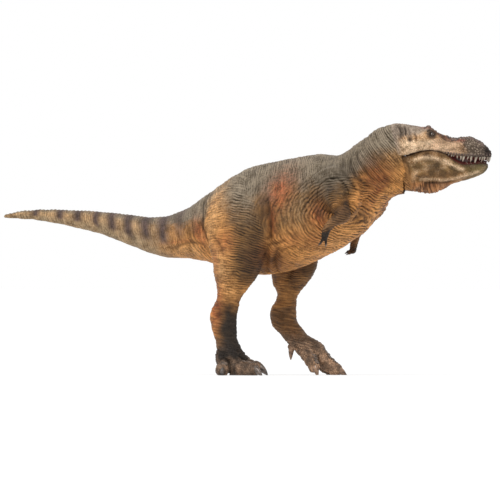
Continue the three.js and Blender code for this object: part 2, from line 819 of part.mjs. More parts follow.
const tail_wire_path = tail_wire_shares.map(spineMiddle);
const tail_wire = tube(tail_wire_path, [wire_radius, wire_radius], wire_sides, wire_steps);
const bore_radius = wire_radius + clearance;
const tail_bore = tube(tail_wire_path, [bore_radius, bore_radius], wire_sides, wire_steps);
const tail_bore_mouth = rod(
  tail_wire_path.at(-1),
  shifted(tail_wire_path.at(-1), forward, overrun),
  bore_radius,
  wire_sides,
);
const tail_hollow = body(
  tail_hollow_share,
  tail_seam_share + seam_reach_share * 2,
  tail_rows,
  -wall * 2 - clearance,
);
const tail = [tail_hollow, tail_bore, tail_bore_mouth].reduce(
  (solid, space) => solid.subtract(space),
  joined([tail_skin, tail_spigot]),
);
figure.add(meshOf("tail", tail, hide));
figure.add(meshOf("tail_wire", tail_wire, steel));

// HEAD, built in its own frame and turned with it.
const head = new THREE.Group();
head.applyMatrix4(head_matrix);
figure.add(head);
const seam_point = new THREE.Vector3();
const seam_back = skull_seam_normal.clone().negate();

function headRing(table, place, offset, middle_share) {
  const [top_share, bottom_share, width_share] = rowAt(table, place);
  const top = top_share * head_depth;
  const bottom = bottom_share * head_depth;
  const middle = bottom + middle_share * (top - bottom);
  const half_width = (width_share * head_width) / 2 + offset;
  const rise = top - middle + offset;
  const drop = middle - bottom + offset;
  return uprightRing(place * head_length, 0, middle, half_width, rise, drop, round_share);
}

function headShape(table, offset, middle_share) {
  const low = table[0][0];
  const step = (table.at(-1)[0] - low) / head_rows;
  const rings = Array.from({ length: head_rows + 1 }, (_, row) => {
    return headRing(table, low + row * step, offset, middle_share);
  });
  return loft(rings);
}

// The hollow of the mouth: way is 1 above the lips and -1 below them. It is shrunk by an inset.
function mouthSpace(table, way, inset) {
  const low = table[0][0];
  const step = (table.at(-1)[0] - low) / mouth_rows;
  const rings = Array.from({ length: mouth_rows + 1 }, (_, row) => {
    const place = low + row * step;
    const [depth_share, width_share] = rowAt(table, place);
    const depth = depth_share * head_depth - inset;
    const half_width = (width_share * head_width) / 2 - inset;
    const [rise, drop] = way > 0 ? [depth, overrun] : [overrun, depth];
    return uprightRing(place * head_length, 0, 0, half_width, rise, drop, round_share);
  });
  return loft(rings);
}

const hinge = new THREE.Vector3(jaw_hinge_share * head_length, 0, jaw_hinge_height_share * head_depth);

// Turns a solid of the head about the jaw's hinge.
function swung(solid, angle) {
  const turn = new THREE.Matrix4()
    .makeTranslation(hinge)
    .multiply(new THREE.Matrix4().makeRotationAxis(to_left, angle))
    .multiply(new THREE.Matrix4().makeTranslation(hinge.clone().negate()));
  return solid.transform(turn.elements);
}

// A cylinder on the hinge's axis.
function hingeRod(radius, half_length) {
  return rod(
    shifted(hinge, to_right, half_length),
    shifted(hinge, to_left, half_length),
    radius,
    limb_sides,
  );
}

const jaw_front = shifted(seam_point, skull_seam_normal, jaw_room);
const jaw_skin = keepBeyond(headShape(jaw_shares, 0, jaw_widest_share), jaw_front, skull_seam_normal);
const jaw_reach = keepBeyond(
  keepBeyond(headShape(jaw_shares, jaw_room, jaw_widest_share), seam_point, skull_seam_normal),
  shifted(seam_point, skull_seam_normal, head_length / 2),
  seam_back,
);
const jaw_sweep = joined(
  Array.from({ length: jaw_swings + 1 }, (_, swing) => {
    return swung(jaw_reach, (swing / jaw_swings) * jaw_opening);
  }),
);

// The pocket that the back of the throat swings into: its end face below the hinge, turned about the hinge
// in steps. Above the hinge the face only moves by the room that the jaw needs.
const throat_face = headRing(jaw_shares, throat_face_share, jaw_room * 2, jaw_widest_share);
throat_face.forEach((point) => {
  point.x = -point.z * Math.tan(skull_seam_lean);
});
const throat_swings = Array.from({ length: jaw_swings * 2 + 1 }, (_, swing) => {
  const turn = 1 - swing / jaw_swings;
  return throat_face.map((point) => {
    const angle = point.z < hinge.z ? turn * jaw_opening * pocket_reach_share : 0;
    const turned = point.clone().sub(hinge).applyAxisAngle(to_left, angle).add(hinge);
    return shifted(turned, seam_back, turn * jaw_room);
  });
});
const throat_pocket = loft(throat_swings);

// Gums follow the lips from one side round the front to the other.
function gumPath(table, edge_column, inset, from_share, to_share) {
  const places = Array.from(
    { length: gum_points },
    (_, step) => from_share + ((to_share - from_share) * step) / (gum_points - 1),
  );
  const along = (side) => (place) => {
    const row = rowAt(table, place);
    const beside = (row[2] * head_width) / 2 - inset;
    return new THREE.Vector3(place * head_length, side * beside, row[edge_column] * head_depth);
  };
  return [...places.map(along(1)), ...places.map(along(-1)).reverse()];
}

// A gum strip with a row of teeth: way is -1 for the upper ones, which point down.
function toothStrip(path, length, way, count) {
  const curve = new THREE.CatmullRomCurve3(path);
  const teeth = Array.from({ length: count }, (_, index) => {
    const root = curve.getPointAt((index + 1 / 2) / count);
    const height = length * (index % 2 ? short_tooth_share : 1);
    const tip_radius = tooth_radius * tooth_tip_share;
    const cone = new THREE.CylinderGeometry(tip_radius, tooth_radius, height, wire_sides);
    cone.rotateX((way * Math.PI) / 2);
    cone.translate(root.x, root.y, root.z + (way * height) / 2);
    return solidOf(cone);
  });
  return joined([tube(path, [gum_radius, gum_radius], wire_sides, gum_steps), ...teeth]);
}

function gumGroove(path) {
  return tube(path, [gum_radius + clearance, gum_radius + clearance], wire_sides, gum_steps);
}

const upper_path = gumPath(skull_shares, 1, upper_gum_inset, upper_gum_shares[0], upper_gum_shares[1]);
const lower_path = gumPath(jaw_shares, 0, lower_gum_inset, lower_gum_shares[0], lower_gum_shares[1]);

// Upper head, with the lug that carries the jaw's pin and a peg that goes into the neck.
const skull_back = shifted(seam_point, skull_seam_normal, clearance);
const skull_whole = headShape(skull_shares, 0, skull_widest_share);
const skull_skin = keepBeyond(skull_whole, skull_back, skull_seam_normal);
const lug_half = jaw_lug_width / 2;
const lug_block = block(
  new THREE.Vector3(hinge.x - jaw_lug_radius, -lug_half, hinge.z),
  new THREE.Vector3(hinge.x + jaw_lug_radius, lug_half, hinge.z + jaw_lug_height),
);
const lug = keepBeyond(hingeRod(jaw_lug_radius, lug_half).add(lug_block), skull_back, skull_seam_normal);
const pin_hole = hingeRod(jaw_pin_radius + clearance, jaw_pin_length / 2 + clearance);

function eyeBall(side, gap) {
  const geometry = new THREE.SphereGeometry(eye_radius + gap, limb_sides, toe_sides);
  geometry.translate(
    eye_place_share * head_length,
    side * eye_side_share * head_width,
    eye_height_share * head_depth,
  );
  return solidOf(geometry);
}

const neck_peg_root = new THREE.Vector3(0, 0, neck_peg_height_share * head_depth);
const neckPeg = (gap) =>
  rod(
    shifted(neck_peg_root, skull_seam_normal, overrun),
    shifted(neck_peg_root, seam_back, neck_peg_length + gap),
    neck_peg_radius + gap,
    limb_sides,
  );
const skull_spaces = [
  mouthSpace(palate_shares, 1, 0),
  gumGroove(upper_path),
  jaw_sweep,
  eyeBall(1, clearance),
  eyeBall(-1, clearance),
];
const skull = skull_spaces
  .reduce((solid, space) => solid.subtract(space), skull_skin)
  .add(lug)
  .add(neckPeg(0))
  .subtract(pin_hole);

// Lower head: a trough with the tongue in it, which swings on the pin.
const trough = mouthSpace(mouth_floor_shares, -1, 0);
const lug_room = hingeRod(jaw_lug_radius + jaw_room, lug_half + jaw_room);
const jaw = [trough, lug_room, pin_hole, gumGroove(lower_path)].reduce(
  (solid, space) => solid.subtract(space),
  jaw_skin,
);
const tongue_ends = tongue_shares.map((place) => new THREE.Vector3(place * head_length, 0, 0));
const tongue_top = new THREE.Vector3(0, 0, tongue_height_share * head_depth);
const tongue = [
  [tongue_ends[0], forward],
  [tongue_ends[1], backward],
  [tongue_top, new THREE.Vector3(0, 0, -1)],
].reduce(
  (solid, [point, normal]) => keepBeyond(solid, point, normal),
  mouthSpace(mouth_floor_shares, -1, clearance),
);

head.add(meshOf("skull", skull, hide));
head.add(meshOf("jaw", jaw, hide));
head.add(meshOf("jaw_pin", hingeRod(jaw_pin_radius, jaw_pin_length / 2), steel));
head.add(meshOf("upper_teeth", toothStrip(upper_path, upper_tooth_length, -1, upper_tooth_count), bone));
head.add(meshOf("lower_teeth", toothStrip(lower_path, lower_tooth_length, 1, lower_tooth_count), bone));
head.add(meshOf("tongue", tongue, flesh));
head.add(meshOf("left_eye", eyeBall(1, 0), eye_gloss));
head.add(meshOf("right_eye", eyeBall(-1, 0), eye_gloss));

// NECK: from the trunk to the skull, with a spigot behind and a pocket that the throat swings into.
const neck_start = shifted(neck_seam_point, neck_seam_normal, clearance);
const neck_whole = body(neck_seam_share - neck_reach_share, spine_shares.at(-1)[0], neck_rows, 0);
const neck_skin = keepBeyond(
  keepBeyond(neck_whole, neck_start, neck_seam_normal),
  head_place,
  skull_seam_out.clone().negate(),
);
const neck_spigot = keepBeyond(
  keepBeyond(plug, shifted(neck_seam_point, neck_seam_back, spigot_length), neck_seam_normal),
  shifted(neck_seam_point, neck_seam_normal, clearance + overrun),
  neck_seam_back,
);
const neck = [throat_pocket, neckPeg(clearance)].reduce(
  (solid, space) => solid.subtract(space.transform(head_matrix.elements)),
  joined([neck_skin, neck_spigot]),
);
figure.add(meshOf("neck", neck, hide));

// Stands the figure on the ground with the origin under its middle.
const extent = new THREE.Box3().setFromObject(figure, true);
const middle = extent.getCenter(new THREE.Vector3());
figure.position.set(-middle.x, -middle.y, -extent.min.z);

const toy = new THREE.Group();
toy.add(figure);
export default toy;
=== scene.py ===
# %% [markdown]
# # A painted vinyl dinosaur
# The toy is a figure of a large two-legged meat eater, cast in soft vinyl in about a dozen pieces and
# painted by hand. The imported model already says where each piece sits, how large it is and what moves.
# This lesson gives every piece its real skin: folds, wrinkles, scales, teeth, claws and paint.

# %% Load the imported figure
import json
import math
from concurrent.futures import ThreadPoolExecutor
from functools import partial

import bmesh
import bpy
import numpy as np
import openvdb
from mathutils import Matrix, Vector

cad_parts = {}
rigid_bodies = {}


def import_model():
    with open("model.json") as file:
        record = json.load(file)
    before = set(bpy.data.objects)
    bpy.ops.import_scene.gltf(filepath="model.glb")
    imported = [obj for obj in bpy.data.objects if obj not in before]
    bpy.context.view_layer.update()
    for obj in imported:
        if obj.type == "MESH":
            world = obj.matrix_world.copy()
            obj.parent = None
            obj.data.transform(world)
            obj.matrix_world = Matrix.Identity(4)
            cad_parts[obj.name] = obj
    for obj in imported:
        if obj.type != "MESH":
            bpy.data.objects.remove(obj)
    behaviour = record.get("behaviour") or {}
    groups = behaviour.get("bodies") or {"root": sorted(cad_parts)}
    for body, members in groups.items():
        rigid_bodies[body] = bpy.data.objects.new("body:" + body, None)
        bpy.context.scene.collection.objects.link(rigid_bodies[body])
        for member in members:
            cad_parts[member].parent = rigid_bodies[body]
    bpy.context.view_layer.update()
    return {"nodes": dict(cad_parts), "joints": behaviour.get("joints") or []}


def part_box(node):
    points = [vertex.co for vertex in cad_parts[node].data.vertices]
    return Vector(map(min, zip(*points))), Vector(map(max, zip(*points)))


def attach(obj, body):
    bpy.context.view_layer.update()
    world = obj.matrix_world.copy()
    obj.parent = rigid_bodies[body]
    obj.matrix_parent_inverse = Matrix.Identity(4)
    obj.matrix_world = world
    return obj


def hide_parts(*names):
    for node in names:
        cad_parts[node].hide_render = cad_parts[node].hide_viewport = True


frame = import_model()
print("pieces in the frame:", len(frame["nodes"]))

# %% [markdown]
# Blender works in metres, but a figure this small is easier to think about in millimetres. Every size
# below is in millimetres, and one factor turns the finished points into metres. The places come from the
# frame: the tip of the tail, the middle of the body, the pin that the jaw turns on and the shoulders.

# %% Places taken from the frame
MM = 0.001
UP = np.array([0, 0, 1.0])
SIDES = ("right", "left")


def corners(node):
    return [np.array(corner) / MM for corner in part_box(node)]


tail_low, tail_high = corners("tail")
tip_x = tail_low[0]
middle_y = (tail_low[1] + tail_high[1]) / 2
joints = {joint["name"]: joint for joint in frame["joints"]}
jaw_hinge = np.array(joints["jaw_hinge"]["pos_m"]) / MM
head_left = np.array(joints["jaw_hinge"]["axis"])
head_ahead = np.cross(head_left, UP)
jaw_swing = math.radians(joints["jaw_hinge"]["range_deg"][1])
shoulders = {side: np.array(joints[side + "_shoulder"]["pos_m"]) / MM for side in SIDES}
print("tail tip at", tip_x, "middle at", middle_y, "head looks along", head_ahead)

# %% [markdown]
# The main sizes are those of the castings. The tables of the forms are shares of these sizes, so the skin
# stays on the castings when a size changes. Creases, swells and spots of paint are placed in millimetres.

# %% Main sizes
SPINE_LENGTH = 266.5
BACK_HEIGHT = 136.0
TRUNK_WIDTH = 54.0
HEAD_LENGTH = 58.0
HEAD_DEPTH = 43.0
HEAD_WIDTH = 31.6
HIP_HEIGHT = 99.0
HIP_SPREAD = 44.0
THIGH_LENGTH = 42.0
THIGH_WIDTH = 25.0
STRIDE_LENGTH = 40.0
FOOT_LENGTH = 30.0
TOE_RADIUS = 3.6
SHOULDER_RADIUS = 10.5
SHOULDER_DOME = 3.0
ARM_LENGTH = 34.0
ARM_RADIUS = 5.0
CLEARANCE = 0.3

HIP_PLACE = 0.642
HINGE_PLACE = (0.086, 0.072)

hip_x = tip_x + HIP_PLACE * SPINE_LENGTH
head_origin = jaw_hinge - HINGE_PLACE[0] * HEAD_LENGTH * head_ahead + HINGE_PLACE[1] * HEAD_DEPTH * UP
print("corner of the mouth at", head_origin.round(2))

# %% [markdown]
# ## A field instead of a mesh
# A sculptor pushes clay about until one form melts into the next. The numerical form of that is a distance
# field: a function that is negative inside the figure, zero on its skin and positive outside. Two fields
# melt together with one line, which is hard to do with meshes, and a plane cuts a field just as easily.
# Each form is read from a table of its sections with a smooth curve through the rows.

# %% Smooth tables and soft unions
def curve_through(rows, samples=900):
    rows = np.array(rows, float)
    at, values = rows[:, 0], rows[:, 1:]
    slopes = np.gradient(values, at, axis=0)
    dense = np.linspace(at[0], at[-1], samples)
    row = np.clip(np.searchsorted(at, dense, side="right") - 1, 0, len(at) - 2)
    span = (at[row + 1] - at[row])[:, None]
    t = (dense - at[row])[:, None] / span
    rise = values[row + 1] - values[row]
    bend_in = slopes[row] * span - rise
    bend_out = rise - slopes[row + 1] * span
    curve = values[row] + t * rise + t * (1 - t) * ((1 - t) * bend_in + t * bend_out)
    return dense, curve.T


def read(curve, at):
    """All the columns of a table at the given places."""
    dense, columns = curve
    return [np.interp(at, dense, column) for column in columns]


def soft_union(first, second, reach):
    """Two fields melted into one over about the length `reach`."""
    share = np.clip(0.5 + 0.5 * (second - first) / reach, 0, 1)
    return second + (first - second) * share - reach * share * (1 - share)


def step_up(value, start, end):
    """0 before the start, 1 past the end, and a smooth way between."""
    share = np.clip((value - start) / (end - start), 0, 1)
    return share * share * (3 - 2 * share)


def hump(value, middle, width):
    return np.exp(-(((value - middle) / width) ** 2))


# %% Distance to an oval section
SQUARE_POWER = 2.17
ROUND_POWER = 2


def oval(across, up, half, rise, drop, power=SQUARE_POWER):
    height = np.where(up > 0, rise, drop)
    a = np.abs(across) / half + 1e-6
    b = np.abs(up) / height + 1e-6
    radius = (a**power + b**power) ** (1 / power)
    slope_a = (a / radius) ** (power - 1) / half
    slope_b = (b / radius) ** (power - 1) / height
    return (radius - 1) / np.sqrt(slope_a**2 + slope_b**2)


# %% [markdown]
# ## Trunk, neck and tail
# One spine carries the tail, the trunk and the neck. Its sections stand upright along the length. The
# numbers of a row are the place along the spine, the top and the bottom as shares of the back's height,
# and the width and the swing to the left as shares of the trunk's width.

# %% The spine
spine = curve_through([
    [0, 0.729, 0.719, 0.03, 0],
    [0.028, 0.743, 0.715, 0.07, 0],
    [0.085, 0.752, 0.707, 0.11, 0],
    [0.146, 0.752, 0.688, 0.15, 0],
    [0.208, 0.748, 0.665, 0.195, 0],
    [0.27, 0.739, 0.632, 0.25, 0],
    [0.331, 0.726, 0.59, 0.33, 0],
    [0.377, 0.718, 0.558, 0.41, 0],
    [0.429, 0.725, 0.536, 0.5, 0],
    [0.48, 0.76, 0.531, 0.6, 0],
    [0.526, 0.815, 0.517, 0.7, 0],
    [0.578, 0.881, 0.492, 0.815, 0],
    [0.624, 0.93, 0.472, 0.905, 0],
    [0.67, 0.958, 0.458, 0.965, 0],
    [0.721, 0.978, 0.47, 1, 0],
    [0.773, 0.994, 0.5, 1, 0],
    [0.824, 1.004, 0.543, 0.965, 0],
    [0.86, 1, 0.577, 0.91, 0],
    [0.891, 1.022, 0.612, 0.84, 0.001],
    [0.92, 1.063, 0.65, 0.76, 0.017],
    [0.948, 1.105, 0.718, 0.685, 0.047],
    [0.975, 1.133, 0.792, 0.63, 0.091],
    [1, 1.146, 0.82, 0.593, 0.146],
    [1.04, 1.152, 0.83, 0.57, 0.21],
])
WIDEST = 0.47


def spine_place(p):
    return (p[:, 0] - tip_x) / SPINE_LENGTH


def trunk_field(p):
    top, bottom, width, sway = read(spine, spine_place(p))
    waist = bottom + WIDEST * (top - bottom)
    across = p[:, 1] - middle_y - sway * TRUNK_WIDTH
    up = p[:, 2] - waist * BACK_HEIGHT
    rise = (top - waist) * BACK_HEIGHT
    drop = (waist - bottom) * BACK_HEIGHT
    skin = oval(across, up, width * TRUNK_WIDTH / 2, rise, drop)
    return np.maximum(skin, tip_x - p[:, 0])


# %% [markdown]
# ## Legs
# A leg is read from the ground up. A row holds the height as a share of the hips', the place ahead of the
# hips as a share of the stride, and the length, the width and the lean towards the body as shares of the
# thigh's. The thigh leans in at the top, because its muscle lies flat on the flank there.

# %% Leg tables and their field
right_leg_rows = [
    [0.05, -0.12, 0.32, 0.46, 0],
    [0.094, -0.117, 0.45, 0.62, 0],
    [0.144, -0.139, 0.41, 0.6, 0],
    [0.194, -0.173, 0.342, 0.55, 0],
    [0.244, -0.213, 0.34, 0.5, 0],
    [0.294, -0.24, 0.385, 0.48, 0],
    [0.357, -0.252, 0.425, 0.48, 0],
    [0.413, -0.224, 0.42, 0.5, 0],
    [0.482, -0.155, 0.36, 0.52, 0],
    [0.545, -0.088, 0.49, 0.62, 0],
    [0.626, -0.033, 0.68, 0.76, 0],
    [0.72, 0.006, 0.8, 0.88, 0],
    [0.814, 0.016, 0.97, 0.97, 0.02],
    [0.908, 0.007, 1.02, 0.97, 0.06],
    [1, -0.015, 1, 0.9, 0.12],
    [1.095, -0.005, 0.86, 0.76, 0.21],
    [1.17, 0, 0.6, 0.56, 0.32],
    [1.24, 0, 0.2, 0.3, 0.42],
]
left_leg_rows = [
    [0.1, 0.81, 0.27, 0.45, 0],
    [0.125, 0.775, 0.39, 0.58, 0],
    [0.163, 0.71, 0.46, 0.64, 0],
    [0.208, 0.605, 0.49, 0.6, 0],
    [0.257, 0.435, 0.415, 0.52, 0],
    [0.301, 0.326, 0.431, 0.48, 0],
    [0.338, 0.272, 0.402, 0.48, 0],
    [0.382, 0.257, 0.409, 0.48, 0],
    [0.42, 0.275, 0.38, 0.48, 0],
    [0.47, 0.318, 0.312, 0.46, 0],
    [0.514, 0.344, 0.341, 0.5, 0],
    [0.564, 0.369, 0.502, 0.64, 0],
    [0.633, 0.418, 0.664, 0.8, 0],
    [0.708, 0.435, 0.726, 0.88, 0],
    [0.814, 0.24, 0.93, 0.95, 0.02],
    [0.908, 0.1, 0.96, 0.96, 0.06],
    [1, 0.02, 0.95, 0.9, 0.12],
    [1.095, -0.01, 0.82, 0.76, 0.21],
    [1.17, -0.02, 0.55, 0.56, 0.32],
    [1.24, 0, 0.2, 0.3, 0.42],
]
legs = {
    "right": {"side": -1, "rows": curve_through(right_leg_rows), "ends": (0.05, 1.24)},
    "left": {"side": 1, "rows": curve_through(left_leg_rows), "ends": (0.1, 1.24)},
}


def leg_middle(leg, height):
    place, _, _, lean = read(leg["rows"], height / HIP_HEIGHT)
    x = hip_x + place * STRIDE_LENGTH
    y = middle_y + leg["side"] * (HIP_SPREAD / 2 - lean * THIGH_WIDTH)
    return x, y


def leg_field(p, leg):
    height = p[:, 2]
    _, length, width, _ = read(leg["rows"], height / HIP_HEIGHT)
    x, y = leg_middle(leg, height)
    side = width * THIGH_WIDTH / 2
    skin = oval(p[:, 0] - x, p[:, 1] - y, length * THIGH_LENGTH / 2, side, side, ROUND_POWER)
    low, high = [end * HIP_HEIGHT for end in leg["ends"]]
    return np.maximum(skin, np.maximum(low - height, height - high))


# %% [markdown]
# ## Feet
# A toe is a chain of balls along a smooth path. The field of a chain is the smallest distance to its
# tapered links. The rows hold the place ahead of the root of the toes, outside it and above the ground in
# shares of the foot's length, and the thickness as a share of the toe's radius.

# %% Toe tables and their field
right_toes = [
    [[-0.2, 0.03, 0.4, 1.2], [-0.2, 0.1, 0.13, 1.2], [-0.12, 0.3, 0.12, 1.2], [-0.05, 0.46, 0.105, 1]],
    [[-0.04, 0, 0.42, 1.3], [0.02, 0.06, 0.16, 1.6], [0.32, 0.2, 0.13, 1.35], [0.57, 0.32, 0.11, 1.2]],
    [[0, -0.08, 0.42, 1.15], [0.28, -0.07, 0.2, 1.15], [0.5, -0.05, 0.15, 1.1]],
    [[-0.24, -0.1, 0.42, 0.7], [-0.23, -0.25, 0.33, 0.62], [-0.21, -0.31, 0.25, 0.6]],
]
left_toes = [
    [[-0.05, 0.05, 0.5, 1.15], [0.17, 0.17, 0.24, 1.1], [0.36, 0.3, 0.07, 0.95]],
    [[-0.05, 0, 0.56, 1.3], [0.15, 0, 0.47, 1.4], [0.36, 0, 0.26, 1.3], [0.58, 0, 0.11, 1.15]],
    [[-0.08, -0.14, 0.52, 1.2], [0.12, -0.24, 0.33, 1.15], [0.24, -0.32, 0.17, 1]],
    [[-0.26, -0.1, 0.8, 0.75], [-0.29, -0.2, 0.68, 0.7], [-0.3, -0.24, 0.57, 0.6]],
]
legs["right"].update(toes=right_toes, root=-0.07, ankle=0.225, ankle_place=-0.2, tilt=math.radians(19))
legs["left"].update(toes=left_toes, root=0.717, ankle=0.42, ankle_place=0.275, tilt=math.radians(-10))


def foot_point(leg, ahead, outside, above):
    x = hip_x + leg["root"] * STRIDE_LENGTH + ahead * FOOT_LENGTH
    y = middle_y + leg["side"] * (HIP_SPREAD / 2 + outside * FOOT_LENGTH)
    return np.array([x, y, above * FOOT_LENGTH])


def chain_field(p, points, radii):
    nearest = np.full(len(p), 1e3)
    for start, end, first, last in zip(points, points[1:], radii, radii[1:]):
        way = end - start
        along = np.clip((p - start) @ way / (way @ way), 0, 1)
        gap = p - start - along[:, None] * way
        link = np.sqrt((gap * gap).sum(axis=1)) - (first + (last - first) * along)
        nearest = np.minimum(nearest, link)
    return nearest


FAR = 50.0
FOOT_TOP = 36.0
FOOT_REACH = 1.3
TOE_WEB = 0.5
TOE_SLIMNESS = 0.95
PAD_LENGTH = 5.2
PAD_SWELL = 0.07


def toe_chain(leg, rows, links=22):
    points = np.array([foot_point(leg, *row[:3]) for row in rows])
    table = np.column_stack([np.linspace(0, 1, len(rows)), points, [row[3] for row in rows]])
    x, y, z, size = read(curve_through(table), np.linspace(0, 1, links))
    points = np.column_stack([x, y, z])
    to_tip = np.linalg.norm(points - points[-1], axis=1)
    swell = 1 + PAD_SWELL * np.cos(to_tip * 2 * math.pi / PAD_LENGTH)
    return points, size * TOE_RADIUS * swell * TOE_SLIMNESS


for leg in legs.values():
    leg["chains"] = [toe_chain(leg, rows) for rows in leg["toes"]]
    leg["toes_x"] = foot_point(leg, 0.1, 0, 0)[0]


def toes_field(p, leg):
    whole = np.full(len(p), FAR)
    off_toes = np.abs(p[:, 0] - leg["toes_x"])
    near = np.flatnonzero((p[:, 2] < FOOT_TOP) & (off_toes < FOOT_REACH * FOOT_LENGTH))
    if len(near):
        close = whole[near]
        for points, radii in leg["chains"]:
            close = soft_union(close, chain_field(p[near], points, radii), TOE_WEB)
        whole[near] = close
    return whole


# %% [markdown]
# ## Head
# The head looks to its left, so its sections are read in a frame of its own, whose origin is the corner
# of the mouth. Both jaws are drawn larger than they are and then cut along the lips, which keeps the
# lips crisp. Behind the mouth they fade into the neck, so that no step shows at the seam.

# %% Head tables
skull = curve_through([
    [-0.16, 0.44, -0.02, 0.98],
    [0, 0.463, 0, 1],
    [0.086, 0.452, 0.01, 1],
    [0.172, 0.434, 0.045, 0.965],
    [0.267, 0.42, 0.075, 0.9],
    [0.34, 0.415, 0.078, 0.82],
    [0.4, 0.37, 0.072, 0.74],
    [0.45, 0.325, 0.06, 0.67],
    [0.505, 0.288, 0.033, 0.62],
    [0.59, 0.245, 0.012, 0.57],
    [0.675, 0.253, -0.006, 0.55],
    [0.77, 0.257, -0.009, 0.53],
    [0.857, 0.208, -0.014, 0.475],
    [0.93, 0.138, -0.012, 0.38],
    [0.965, 0.095, -0.012, 0.28],
    [0.985, 0.045, -0.012, 0.17],
])
lower_jaw = curve_through([
    [-0.1, -0.012, -0.56, 0.7],
    [0.02, -0.01, -0.556, 0.73],
    [0.097, 0, -0.552, 0.77],
    [0.172, 0.035, -0.547, 0.82],
    [0.267, 0.066, -0.537, 0.84],
    [0.375, 0.068, -0.532, 0.78],
    [0.44, 0.05, -0.5, 0.7],
    [0.505, 0.018, -0.46, 0.63],
    [0.568, -0.05, -0.405, 0.57],
    [0.622, -0.098, -0.38, 0.53],
    [0.675, -0.125, -0.362, 0.51],
    [0.77, -0.127, -0.325, 0.485],
    [0.868, -0.12, -0.272, 0.42],
    [0.92, -0.117, -0.225, 0.33],
    [0.952, -0.12, -0.17, 0.18],
])
palate = curve_through([
    [0.1, 0.05, 0.12],
    [0.25, 0.13, 0.3],
    [0.5, 0.12, 0.26],
    [0.7, 0.1, 0.21],
    [0.86, 0.04, 0.1],
])
mouth_floor = curve_through([
    [0.06, 0.14, 0.28],
    [0.25, 0.16, 0.32],
    [0.5, 0.19, 0.25],
    [0.7, 0.21, 0.2],
    [0.86, 0.15, 0.1],
])
SKULL_REACH = 0.985 * HEAD_LENGTH
JAW_REACH = 0.952 * HEAD_LENGTH
SKULL_WIDEST = 0.3
JAW_WIDEST = 0.62
LIP_REACH = 2.2
LIP_SPARE = 1
SKULL_MELT = 8
JAW_MELT = 12
SEAM_LEAN = math.radians(14.7)
JAW_ROOM = 0.45
NECK_ROOM = 0.85
SLEEVE_RELIEF = 0.4
TONGUE_ROOM = 0.25
JAW_INSET = 1.9
JAW_LAP = 1.2


def to_head(p):
    q = p - head_origin
    return q @ head_ahead, q @ head_left, q[:, 2]


def behind_seam(x, z):
    return -(x * math.cos(SEAM_LEAN) + z * math.sin(SEAM_LEAN))


# %% Fields of the two jaws
def head_section(table, x):
    """Upper edge, lower edge and half the width of a jaw, in millimetres."""
    upper, lower, width = read(table, x / HEAD_LENGTH)
    return upper * HEAD_DEPTH, lower * HEAD_DEPTH, width * (HEAD_WIDTH / 2)


def skull_skin(x, y, z):
    top, lip, width = head_section(skull, x)
    waist = lip + SKULL_WIDEST * (top - lip)
    skin = oval(y, z - waist, width, top - waist, LIP_REACH * (waist - lip) + LIP_SPARE)
    return np.maximum(skin, x - SKULL_REACH), lip


def jaw_skin(x, y, z):
    lip, bottom, width = head_section(lower_jaw, x)
    waist = bottom + JAW_WIDEST * (lip - bottom)
    skin = oval(y, z - waist, width, LIP_REACH * (lip - waist) + LIP_SPARE, waist - bottom)
    return np.maximum(skin, x - JAW_REACH), lip


NEVER_FLAT = 0.01
MOUTH_SPARE = 3.0


def mouth_space(table, x, y, z, way):
    """The hollow over the tongue, with `way` 1, or under it, with `way` -1."""
    depth, width = read(table, x / HEAD_LENGTH)
    half, deep = width * HEAD_WIDTH / 2 + NEVER_FLAT, depth * HEAD_DEPTH + NEVER_FLAT
    hollow = oval(y, way * z, half, deep, MOUTH_SPARE)
    start, end = [table[0][0] * HEAD_LENGTH, table[0][-1] * HEAD_LENGTH]
    return np.maximum(hollow, np.maximum(start - x, x - end))


def into_neck(p, skin, x, z, reach, inset=0.0):
    """The skin of a jaw, melted into that of the neck behind the seam."""
    share = step_up(-behind_seam(x, z), -1, reach)
    return (trunk_field(p) + inset) * (1 - share) + skin * share


UPPER_GUM = 1.5
LOWER_GUM = 1.7
GUM_INSET = (0.6, 1.2)
GUM_FROM = (27, 33)
FRONT_GUM = 0.9
FRONT_FROM = (46, 52)


def gum(skin, x, height):
    """How far the gum stands past the lip: nothing at the lip itself, all of it a little way inside."""
    front = 1 + FRONT_GUM * step_up(x, *FRONT_FROM)
    return height * step_up(-skin, *GUM_INSET) * step_up(x, *GUM_FROM) * front


def skull_outside(p):
    x, y, z = to_head(p)
    skin, lip = skull_skin(x, y, z)
    return into_neck(p, skin, x, z, SKULL_MELT), lip - gum(skin, x, UPPER_GUM) - z


def jaw_outside(p):
    x, y, z = to_head(p)
    skin, lip = jaw_skin(x, y, z)
    outer = into_neck(p, skin, x, z, JAW_MELT, JAW_INSET)
    return np.maximum(outer, behind_seam(x, z) - JAW_LAP), z - lip - gum(skin, x, LOWER_GUM)


def skull_field(p):
    return np.maximum(*skull_outside(p))


def jaw_field(p):
    return np.maximum(*jaw_outside(p))


def swung(field, p, angle):
    """The field of a piece that has turned down by the angle about the pin of the jaw."""
    q = p - jaw_hinge
    ahead, up = q @ head_ahead, q[:, 2]
    turned_ahead = ahead * math.cos(angle) - up * math.sin(angle)
    turned_up = ahead * math.sin(angle) + up * math.cos(angle)
    moved = p + np.outer(turned_ahead - ahead, head_ahead) + np.outer(turned_up - up, UP)
    return field(moved)


SWEEP_REACH = 40
NECK_SWEEP = 9


def sweep_of(field, p, steps=5):
    """The field of all the places that the piece passes through while the jaw opens."""
    near = np.flatnonzero(p[:, 0] > jaw_hinge[0] - SWEEP_REACH)
    sweep = np.full(len(p), FAR)
    close = np.full(len(near), FAR)
    for angle in np.linspace(0, jaw_swing, steps):
        close = np.minimum(close, swung(field, p[near], angle))
    sweep[near] = close
    return sweep


